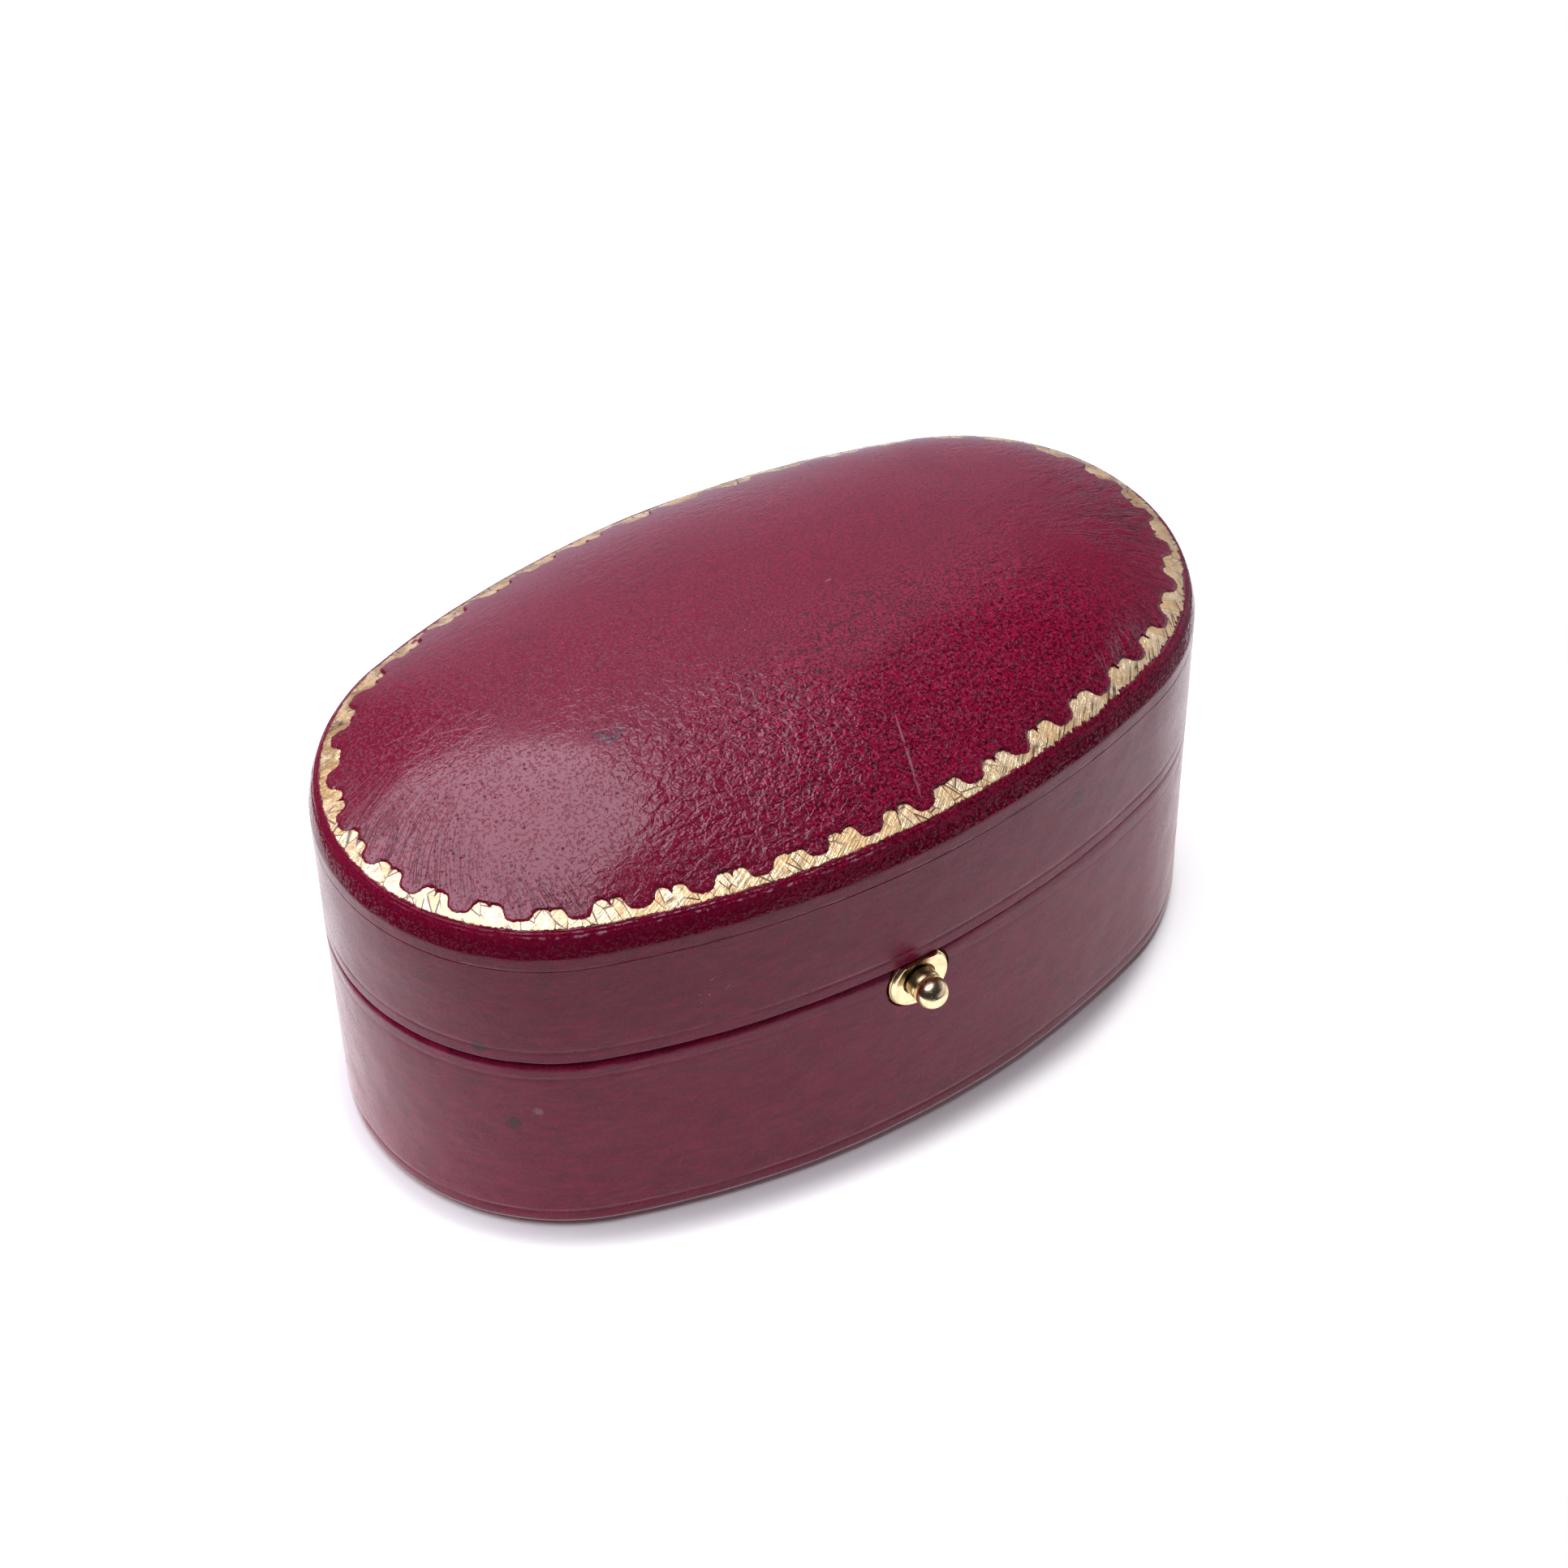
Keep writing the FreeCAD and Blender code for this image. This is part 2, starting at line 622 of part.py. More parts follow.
def crown(foot, height, inset, swell, tuck, direction):
    """Stations, from the lowest up, of a cushion with a drawn-in foot and a rounded, crowned face."""
    stations = [
        (foot, f"({inset} + {tuck})", "1"),
        (f"({foot} {direction} ({height} - {swell}) / 2)", inset, "1"),
    ]
    for angle in CROWN_ANGLES:
        level = f"({foot} {direction} ({height} - {swell} + {swell} * sin({angle})))"
        stations.append((level, f"({inset} + {swell} * (1 - cos({angle})))", "1"))
    stations.append((f"({foot} {direction} {height})", inset, CROWN_FLAT))
    return stations if direction == "+" else stations[::-1]


def ring_pad(label, keep_front):
    """One of the two rolls that hold a ring between them."""
    blank = new_body(label + "_blank")
    stations = crown(PAD_FOOT, "pad_height", PAD_INSET, "pad_crown", "pad_tuck", "+")
    loft_ovals(blank, label + "_cushion", stations)
    front, back = ("(-ring_slot / 2)", "half_width") if keep_front else ("(-half_width)", "(ring_slot / 2)")
    other_half = block(
        label + "_other_half", "-half_length", "half_length", front, back, "0", "joint_height",
    )
    return cut(label, blank, other_half)


ring_pad_front = ring_pad("ring_pad_front", True)
ring_pad_back = ring_pad("ring_pad_back", False)

# Lid: a wooden ring and top board, wadding under a domed leather cap, and a leather side strip

lid_board = new_body("lid_board")
board = pad_oval(lid_board, "lid_board_sheet", LID_BOARD_FOOT, LID_BOARD_TOP, "leather")
doc.recompute()
board_top = measure(LID_BOARD_TOP)
board_edges = [
    f"Edge{number}" for number, edge in enumerate(board.Shape.Edges, start=1)
    if abs(edge.BoundBox.ZMin - board_top) < 1e-4
]
board_rounding = lid_board.newObject("PartDesign::Fillet", "lid_board_rounding")
board_rounding.Base = (board, board_edges)
bind(board_rounding, Radius="corner_radius - leather")

CORNER_END = f"(corner_radius * (1 - cos({CORNER_ANGLES[-1]})))"
DOME_FOOT = f"({CORNER} + corner_radius * sin({CORNER_ANGLES[-1]}))"


def dome(foot, height, inset):
    """Stations of the padded top above its foot."""
    stations = []
    for step in DOME_STEPS:
        stations.append((f"({foot} + {height} * (1 - {step} ^ dome_fullness))", inset, str(step)))
    return stations


lid_padding = new_body("lid_padding")
PADDING_INSET = f"({CORNER_END} + leather)"
PADDING_HEIGHT = f"({DOME_FOOT} + dome_height - leather - {LID_BOARD_TOP})"
loft_ovals(
    lid_padding, "lid_wadding",
    [(LID_BOARD_TOP, PADDING_INSET, "1")] + dome(LID_BOARD_TOP, PADDING_HEIGHT, PADDING_INSET),
)

cap_blank = new_body("lid_cap_blank")
pad_oval(cap_blank, "lid_cap_turn_down", SEAM, CORNER, "0")
corner_stations = []
for angle in CORNER_ANGLES:
    corner_stations.append((
        f"({CORNER} + corner_radius * sin({angle}))", f"(corner_radius * (1 - cos({angle})))", "1",
    ))
loft_ovals(cap_blank, "lid_cap_top", corner_stations + dome(DOME_FOOT, "dome_height", CORNER_END))
cap_hollow = new_body("cap_hollow")
pad_oval(cap_hollow, "cap_hollow_core", SEAM, LID_BOARD_FOOT, "leather")
lid_cap_leather = cut("lid_cap_leather", cap_blank, cap_hollow, lid_board, lid_padding)

lid_wall_blank = new_body("lid_wall_blank")
pad_oval(lid_wall_blank, "lid_wall_ring", LID_WALL_FOOT, LID_BOARD_FOOT, "leather", INNER)
lid_wall = cut(
    "lid_wall", lid_wall_blank, hinge_notch, lid_leaf_rebate, hinge_lid_brads, hook_mortise, keeper_pins,
)

side_blank = new_body("lid_side_blank")
pad_oval(side_blank, "lid_side", "joint_height", SEAM, "0", "leather")
pad_oval(side_blank, "lid_rim", "joint_height", LID_WALL_FOOT, "(leather / 2)", INNER)
lid_side_leather = cut("lid_side_leather", side_blank, hinge_notch, lid_rim_rebate, keeper_opening)

lid_lining_blank = new_body("lid_lining_blank")
LID_LINED = "(leather + wall + lid_lining_thickness)"
pad_oval(
    lid_lining_blank, "lid_lining_wall", "(joint_height + lining_margin)", LID_BOARD_FOOT, INNER, LID_LINED,
)
lid_lining = cut("lid_lining", lid_lining_blank, hook_mortise)

lid_pad = new_body("lid_pad")
loft_ovals(lid_pad, "lid_pad_cushion", crown(
    LID_BOARD_FOOT, "lid_pad_thickness", f"({LID_LINED} + pad_clearance)", "lid_pad_crown", "lid_pad_tuck",
    "-",
))

NODES = (
    bottom_panel, base_floor, base_wall, base_leather, base_lining, pad_board, ring_pad_front,
    ring_pad_back, hinge_base_leaf, hinge_pin, hinge_base_brads, catch_plate, catch_plate_pins,
    catch_spring, spring_rivets, push_button, button_washer, lid_wall, lid_board, lid_padding,
    lid_cap_leather, lid_side_leather, lid_lining, lid_pad, hinge_lid_leaf, hinge_lid_brads,
    keeper_plate, keeper_pins,
)

doc.recompute()
for item in doc.Objects:
    if {"Invalid", "Error"} & set(item.State):
        raise RuntimeError(f"{item.Label} failed: {item.State}")
for node in NODES:
    if node.Shape.isNull() or not node.Shape.isValid():
        raise RuntimeError(f"{node.Label} has no valid shape")

os.makedirs("parts", exist_ok=True)
for node in NODES:
    node.Shape.exportStep(f"parts/{node.Label}.step")
    print(f"{node.Label}: {len(node.Shape.Solids)} solids, {node.Shape.Volume:.2f} mm3")
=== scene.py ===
"""Looks of the oval leather jewellery case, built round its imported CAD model.

The shape code works in millimetres and the pieces are in metres, in the CAD's own frame: +Z up, X along
the oval, -Y towards the front with the push button.
"""
import math

import bmesh
import bpy
import numpy as np
from mathutils import Matrix


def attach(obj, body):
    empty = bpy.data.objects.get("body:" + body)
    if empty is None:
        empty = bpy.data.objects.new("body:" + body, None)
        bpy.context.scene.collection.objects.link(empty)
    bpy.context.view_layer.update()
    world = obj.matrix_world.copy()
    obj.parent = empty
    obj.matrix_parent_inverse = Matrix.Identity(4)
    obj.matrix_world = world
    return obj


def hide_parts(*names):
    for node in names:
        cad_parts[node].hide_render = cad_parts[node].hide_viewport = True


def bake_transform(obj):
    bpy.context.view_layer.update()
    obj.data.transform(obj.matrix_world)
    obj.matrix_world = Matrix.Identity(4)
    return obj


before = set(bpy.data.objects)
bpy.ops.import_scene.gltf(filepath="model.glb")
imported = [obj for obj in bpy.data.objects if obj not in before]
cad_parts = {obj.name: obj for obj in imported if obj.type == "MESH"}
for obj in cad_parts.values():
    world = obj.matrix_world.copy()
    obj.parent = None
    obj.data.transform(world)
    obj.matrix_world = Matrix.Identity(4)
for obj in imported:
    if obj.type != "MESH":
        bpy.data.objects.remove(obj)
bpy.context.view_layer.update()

MM = 0.001

# Plan: an oval of four tangent arcs
HALF_LENGTH = 37.5
HALF_WIDTH = 21.9
END_RADIUS = 18.6
END_CENTRE = HALF_LENGTH - END_RADIUS
SIDE_RADIUS = (END_CENTRE ** 2 + HALF_WIDTH ** 2 - END_RADIUS ** 2) / (2 * (HALF_WIDTH - END_RADIUS))
SIDE_CENTRE = SIDE_RADIUS - HALF_WIDTH
TURN = math.atan2(SIDE_CENTRE, END_CENTRE)

# Heights, and the padded top's shape
JOINT = 19.5
BASE_WOOD = 18.8
LID_WOOD = 20.2
CORNER = 31.3
CORNER_RADIUS = 2.0
CORNER_TURN = math.radians(60)
SEAM = 29.7
LEATHER = 0.7
WALL_INSET = 3.3
BUTTON_LEVEL = 17.4
DOME_HEIGHT = 5.4
DOME_FULLNESS = 2.6
RIGHT_SWELL = 0.42
RIGHT_REACH = 3.2
LEFT_SWELL = 0.22
LEFT_REACH = 8
GILT_INSET = CORNER_RADIUS * (1 - math.cos(CORNER_TURN))
DOME_FOOT = CORNER + CORNER_RADIUS * math.sin(CORNER_TURN)

# The rounded edge of the lid: its lean at each level, and the inset that this adds up to
EDGE_START = 30.6
EDGE_LEVELS = np.linspace(EDGE_START, DOME_FOOT, 400)
EDGE_LEAN = np.radians(np.interp(
    EDGE_LEVELS, (EDGE_START, 30.85, 31.05, 31.5, 32.0, 32.35, 32.7, DOME_FOOT),
    (0, 3, 15, 17, 19, 26, 41, 57),
))
EDGE_INSETS = np.concatenate([[0], np.cumsum(np.tan(EDGE_LEAN[:-1]) * np.diff(EDGE_LEVELS))])
EDGE_INSETS = EDGE_INSETS * GILT_INSET / EDGE_INSETS[-1]

SIDE_ARC = (SIDE_RADIUS - GILT_INSET) * (math.pi / 2 - TURN)
END_ARC = (END_RADIUS - GILT_INSET) * TURN
QUARTER = SIDE_ARC + END_ARC
GILT_LENGTH = 4 * QUARTER

# Lines creased into the sides' leather: level, half width and depth
CREASED_LINES = ((1.9, 0.2, 0.06), (17.7, 0.2, 0.03), (20.75, 0.18, 0.05))


# Shape tools

def step(low, high, value):
    """A smooth step from 0 at low to 1 at high."""
    share = np.clip((value - low) / (high - low), 0, 1)
    return share * share * (3 - 2 * share)


def bell(value, middle, width):
    return np.exp(-((value - middle) / width) ** 2)


def hashed(cell, seed):
    """Even random numbers from 0 to 1, one for each whole-number cell."""
    number = np.full(cell.shape[:-1], seed * 7919 + 17, np.int64)
    for axis, prime in zip(range(cell.shape[-1]), (374761393, 668265263, 2147483629)):
        number = (number + cell[..., axis] * prime) & 0xFFFFFFFF
        number = ((number ^ (number >> 13)) * 1274126177) & 0xFFFFFFFF
    return ((number ^ (number >> 16)) & 0xFFFFFF) / 0xFFFFFF


def noise(seed, *axes):
    """Smooth noise from -1 to 1 over any number of axes, with features one unit across."""
    place = np.stack(np.broadcast_arrays(*axes), -1)
    cell = np.floor(place).astype(np.int64)
    share = place - cell
    share = share * share * (3 - 2 * share)
    total = 0.0
    for corner in range(2 ** place.shape[-1]):
        offset = np.array([(corner >> axis) & 1 for axis in range(place.shape[-1])])
        weight = np.prod(np.where(offset == 1, share, 1 - share), -1)
        total = total + weight * hashed(cell + offset, seed)
    return 2 * total - 1


class Columns:
    """Points round the oval, given by their length along the gilt line from the front middle."""

    def __init__(self, along):
        self.along = np.asarray(along, float)
        wrapped = self.along % GILT_LENGTH
        half = GILT_LENGTH / 2
        from_middle = np.where(wrapped % half < QUARTER, wrapped % half, half - wrapped % half)
        front = (wrapped < QUARTER) | (wrapped > 3 * QUARTER)
        right = wrapped < half
        on_side = from_middle < SIDE_ARC
        side_angle = from_middle / (SIDE_RADIUS - GILT_INSET)
        end_angle = TURN - (from_middle - SIDE_ARC) / (END_RADIUS - GILT_INSET)
        self.normal_x = np.where(on_side, np.sin(side_angle), np.cos(end_angle)) * np.where(right, 1, -1)
        self.normal_y = np.where(on_side, np.cos(side_angle), np.sin(end_angle)) * np.where(front, -1, 1)
        self.radius = np.where(on_side, SIDE_RADIUS, END_RADIUS)
        self.centre_x = np.where(on_side, 0, END_CENTRE * np.where(right, 1, -1))
        self.centre_y = np.where(on_side, SIDE_CENTRE * np.where(front, 1, -1), 0)

    def plan(self, inset):
        reach = self.radius - inset
        return self.centre_x + reach * self.normal_x, self.centre_y + reach * self.normal_y

    def ring(self, inset, level):
        x, y = self.plan(inset)
        return np.stack([x, y, np.broadcast_to(level, x.shape)], -1)

    def outward(self):
        return np.stack([self.normal_x, self.normal_y, np.zeros_like(self.normal_x)], -1)


def even_columns(count):
    return Columns(np.arange(count) * GILT_LENGTH / count)


def locate(x, y):
    """Length along the gilt line, signed from the front middle, and depth inside it, of points in plan."""
    from_end = np.abs(x) - END_CENTRE
    end_angle = np.arctan2(np.abs(y), from_end)
    on_end = end_angle < TURN
    side_y = np.abs(y) + SIDE_CENTRE
    depth = np.where(
        on_end, END_RADIUS - np.hypot(from_end, y), SIDE_RADIUS - np.hypot(x, side_y),
    ) - GILT_INSET
    from_middle = np.where(
        on_end, SIDE_ARC + (TURN - end_angle) * (END_RADIUS - GILT_INSET),
        np.arctan2(np.abs(x), side_y) * (SIDE_RADIUS - GILT_INSET),
    )
    along = np.where(y < 0, from_middle, GILT_LENGTH / 2 - from_middle)
    return np.where(x < 0, -along, along), depth


FOOT_X, FOOT_Y = even_columns(4000).plan(GILT_INSET)
FOOT_ANGLE = np.arctan2(FOOT_Y, FOOT_X)
FOOT_ORDER = np.argsort(FOOT_ANGLE)


def top_level(x, y):
    """Height of the padded top, fuller at its ends, and of the rounded edge outside the gilt line."""
    reach = np.interp(
        np.arctan2(y, x), FOOT_ANGLE[FOOT_ORDER], np.hypot(FOOT_X, FOOT_Y)[FOOT_ORDER], period=2 * math.pi,
    )
    share = np.minimum(np.hypot(x, y) / reach, 1)
    dome = DOME_FOOT + DOME_HEIGHT * (1 - share ** DOME_FULLNESS)
    depth = locate(x, y)[1]
    rise = np.maximum(depth, 0) / RIGHT_REACH
    dome = dome + RIGHT_SWELL * step(6, 26, x) * rise * np.exp(1 - rise)
    dome = dome + LEFT_SWELL * step(-8, -22, x) * step(0, LEFT_REACH, depth)
    corner = np.interp(depth + GILT_INSET, EDGE_INSETS, EDGE_LEVELS)
    return np.where(share < 1, dome, corner)


def joined(rings, closed):
    """Faces between rings of points, in a closed loop or filled in at both ends.

    A ring may have half or twice the points of its neighbour.
    """
    faces = []
    starts = np.cumsum([0] + [len(ring) for ring in rings])
    pairs = [(number, number + 1) for number in range(len(rings) - 1)]
    if closed:
        pairs.append((len(rings) - 1, 0))
    for lower, upper in pairs:
        a, b = starts[lower], starts[upper]
        count, other = len(rings[lower]), len(rings[upper])
        if count == other:
            here = np.arange(count)
            after = (here + 1) % count
            faces += np.stack([a + here, a + after, b + after, b + here], -1).tolist()
            continue
        flip = other > count
        if flip:
            a, b, count, other = b, a, other, count
        here = np.arange(other)
        after = (here + 1) % other
        first, middle, last = 2 * here, 2 * here + 1, (2 * here + 2) % count
        made = np.concatenate([
            np.stack([a + first, a + middle, b + here], -1),
            np.stack([a + middle, b + after, b + here], -1),
            np.stack([a + middle, a + last, b + after], -1),
        ])
        faces += (made[:, ::-1] if flip else made).tolist()
    if not closed:
        faces.append(list(range(starts[1]))[::-1])
        faces.append(list(range(starts[-2], starts[-1])))
    return faces


def coordinates(mesh):
    points = np.zeros(len(mesh.vertices) * 3)
    mesh.vertices.foreach_get("co", points)
    return points.reshape(-1, 3)


def signed_volume(mesh):
    mesh.calc_loop_triangles()
    corners = np.zeros(len(mesh.loop_triangles) * 3, np.int32)
    mesh.loop_triangles.foreach_get("vertices", corners)
    a, b, c = coordinates(mesh)[corners.reshape(-1, 3)].transpose(1, 0, 2)
    return float((a * np.cross(b, c)).sum())


def make_piece(name, points, faces, sharp=40):
    """A smooth-shaded mesh object from points in millimetres, its faces turned outwards."""
    mesh = bpy.data.meshes.new(name)
    mesh.from_pydata((np.asarray(points) * MM).tolist(), [], faces)
    if signed_volume(mesh) < 0:
        mesh.flip_normals()
    mesh.shade_smooth()
    mesh.set_sharp_from_angle(angle=math.radians(sharp))
    piece = bpy.data.objects.new(name, mesh)
    bpy.context.scene.collection.objects.link(piece)
    return piece


def add_attribute(piece, name, values):
    """One number for each point of a piece, for its material to read."""
    data = piece.data.attributes.new(name, "FLOAT", "POINT").data
    data.foreach_set("value", np.asarray(values, np.float32))


def ring_piece(name, rings, sharp=40, closed=False):
    """A piece whose surface passes through rings of points."""
    return make_piece(name, np.concatenate(rings), joined(rings, closed), sharp)


def swept(name, outline, count, push=None, sharp=40):
    """A closed outline of inset and level, carried round the oval.

    push(columns, inset, level) says how far each point moves out.
    """
    columns = even_columns(count)
    rings = []
    for inset, level in outline:
        ring = columns.ring(inset, level)
        if push is not None:
            ring = ring + columns.outward() * push(columns, inset, level)[:, None]
        rings.append(ring)
    return ring_piece(name, rings, sharp, closed=True)


def arc(centre, radius, start, end, count=6):
    """Points of an arc in inset and level; angles in degrees, 0 towards more inset and 90 up."""
    angles = np.radians(np.linspace(start, end, count))
    return [(centre[0] + radius * math.cos(a), centre[1] + radius * math.sin(a)) for a in angles]


def circle(centre, radius, count=24):
    angles = np.arange(count) * 2 * math.pi / count
    return [(centre[0] + radius * math.cos(a), centre[1] + radius * math.sin(a)) for a in angles]


def wall(low, high, spacing=0.5):
    """Points up the outer face, close together at the creased lines."""
    levels = list(np.linspace(low, high, max(2, int((high - low) / spacing))))
    for level, half, _ in CREASED_LINES:
        levels += [level + half * share for share in (-2, -1.4, -1, -0.7, -0.35, 0, 0.35, 0.7, 1, 1.4, 2)]
    return [(0.0, level) for level in sorted(set(levels)) if low <= level <= high]


def box_piece(name, low, high):
    points = [(x, y, z) for x in (low[0], high[0]) for y in (low[1], high[1]) for z in (low[2], high[2])]
    faces = [(0, 1, 3, 2), (4, 6, 7, 5), (0, 4, 5, 1), (2, 3, 7, 6), (0, 2, 6, 4), (1, 5, 7, 3)]
    return make_piece(name, points, faces)


def prism_piece(name, outline, axis, low, high):
    """An outline of two coordinates, carried along the third axis."""
    points = []
    for at in (low, high):
        for pair in outline:
            point = list(pair)
            point.insert(axis, at)
            points.append(point)
    count = len(outline)
    faces = [[i, (i + 1) % count, count + (i + 1) % count, count + i] for i in range(count)]
    faces += [list(range(count))[::-1], list(range(count, 2 * count))]
    return make_piece(name, points, faces)


def lathe(name, profile, centre, count=96, sharp=35):
    """A round along Y: a profile of radius and place, about an axis through centre (x, z)."""
    angles = np.arange(count) * 2 * math.pi / count
    rings = [
        np.stack([
            centre[0] + radius * np.cos(angles), np.full(count, place), centre[1] + radius * np.sin(angles),
        ], -1)
        for radius, place in profile
    ]
    return ring_piece(name, rings, sharp)


def carve(piece, operation, *tools, sharp=40):
    """Cut tools from a piece, or add them to it, and remove the tools."""
    for tool in tools:
        change = piece.modifiers.new("carve", "BOOLEAN")
        change.operation = operation
        change.object = tool
        change.solver = "MANIFOLD"
        apply_modifiers(piece)
        bpy.data.objects.remove(tool)
    piece.data.shade_smooth()
    piece.data.set_sharp_from_angle(angle=math.radians(sharp))
    return piece


def apply_modifiers(piece):
    graph = bpy.context.evaluated_depsgraph_get()
    mesh = bpy.data.meshes.new_from_object(piece.evaluated_get(graph))
    piece.modifiers.clear()
    piece.data = mesh


def settle(piece, body, slot, material, *nodes):
    """Put a finished piece on its body, in place of the CAD nodes that it stands for."""
    piece.data.materials.clear()
    piece.data.materials.append(material)
    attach(piece, body)
    if nodes:
        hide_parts(*nodes)
    return piece


# Materials

CAP_DARK, CAP_BRIGHT = (0.046, 0.0010, 0.006), (0.34, 0.006, 0.045)
# Worn tone for the mottle, and a near-black painted shade for the pores and wrinkles
CAP_WORN, CAP_PAINTED_SHADE = (0.13, 0.0017, 0.016), (0.020, 0.001, 0.004)


class Nodes:
    """Short ways to add nodes to a material's or a world's tree."""

    def __init__(self, tree):
        self.tree = tree

    def node(self, kind, inputs=None, **settings):
        made = self.tree.nodes.new("ShaderNode" + kind)
        for key, value in settings.items():
            setattr(made, key, value)
        for key, value in (inputs or {}).items():
            if isinstance(value, bpy.types.NodeSocket):
                self.tree.links.new(value, made.inputs[key])
            else:
                made.inputs[key].default_value = value
        return made

    def ramp(self, value, low, high, out_low=0.0, out_high=1.0):
        return self.node("MapRange", {
            "Value": value, "From Min": low, "From Max": high, "To Min": out_low, "To Max": out_high,
        }, interpolation_type="SMOOTHSTEP").outputs[0]

    def sum(self, *terms):
        """Sum of socket and weight pairs."""
        total = 0.0
        for socket, weight in terms:
            total = self.math("MULTIPLY_ADD", socket, weight, total)
        return total

    def math(self, operation, *inputs):
        return self.node("Math", dict(enumerate(inputs)), operation=operation).outputs[0]

    def times(self, first, *factors):
        for factor in factors:
            first = self.math("MULTIPLY", first, factor)
        return first

    def most(self, first, *others):
        for other in others:
            first = self.math("MAXIMUM", first, other)
        return first

    def vector(self, operation, *inputs):
        return self.node("VectorMath", dict(enumerate(inputs)), operation=operation).outputs[0]

    def band(self, value, low, rise, fall, high):
        """1 between rise and fall, fading to 0 at low and high."""
        return self.times(self.ramp(value, low, rise), self.ramp(value, fall, high, 1, 0))


class Paint(Nodes):
    """A node material in millimetres of the piece's own frame."""

    def __init__(self, name):
        self.material = bpy.data.materials.new(name)
        self.material.use_nodes = True
        super().__init__(self.material.node_tree)
        self.shader = self.tree.nodes["Principled BSDF"]
        self.place = self.vector("MULTIPLY", self.node("TexCoord").outputs["Object"], (1000, 1000, 1000))

    def part(self, axis):
        """One coordinate of the place."""
        return self.node("SeparateXYZ", {0: self.place}).outputs[axis]

    def set(self, **values):
        for key, value in values.items():
            name = key.replace("_", " ")
            socket = self.shader.inputs[name]
            if isinstance(value, bpy.types.NodeSocket):
                self.tree.links.new(value, socket)
            else:
                socket.default_value = value

    def noise(self, size, detail=2.0, rough=0.5, stretch=None, warp=0.0):
        """Noise with features of a size in millimetres."""
        place = self.place
        if stretch:
            place = self.vector("MULTIPLY", place, stretch)
        return self.node("TexNoise", {
            "Vector": place, "Scale": 1 / size, "Detail": detail, "Roughness": rough, "Distortion": warp,
        }).outputs["Fac"]

    def cells(self, size, feature="F1", output="Distance", warp=0.0):
        """Cells of a size in millimetres, their places shifted by a noise."""
        shift = self.node("TexNoise", {"Vector": self.place, "Scale": 1 / size}).outputs["Color"]
        place = self.vector("MULTIPLY_ADD", shift, (warp, warp, warp), self.place)
        return self.node("TexVoronoi", {"Vector": place, "Scale": 1 / size}, feature=feature).outputs[output]

    def mix(self, share, first, second):
        made = self.node("Mix", data_type="RGBA")
        for number, value in ((0, share), (6, first), (7, second)):
            if isinstance(value, bpy.types.NodeSocket):
                self.tree.links.new(value, made.inputs[number])
            else:
                made.inputs[number].default_value = value if number == 0 else (*value, 1)
        return made.outputs[2]

    def attribute(self, name):
        return self.node("Attribute", attribute_name=name).outputs["Fac"]

    def near(self, *point, stretch=(1, 1, 1)):
        """Distance from a point, after the axes are stretched."""
        place = self.vector("MULTIPLY", self.place, stretch)
        return self.node("VectorMath", {0: place, 1: point}, operation="DISTANCE").outputs["Value"]

    def scratch(self, start, end, width):
        """A thin broken line between two points, seen in plan."""
        away = [(self.near(*point, 0, stretch=(1, 1, 0)), 1.0) for point in (start, end)]
        length = math.dist(start, end)
        spread = 2 * width ** 2 / length
        line = self.ramp(self.sum(*away), length + spread, length + 4 * spread, 1, 0)
        return self.times(line, self.ramp(self.noise(0.7, 2), 0.38, 0.48))

    def bump(self, height, depth):
        """Relief of a depth in millimetres."""
        self.set(Normal=self.node(
            "Bump", {"Height": height, "Strength": 1.0, "Distance": depth * MM},
        ).outputs[0])


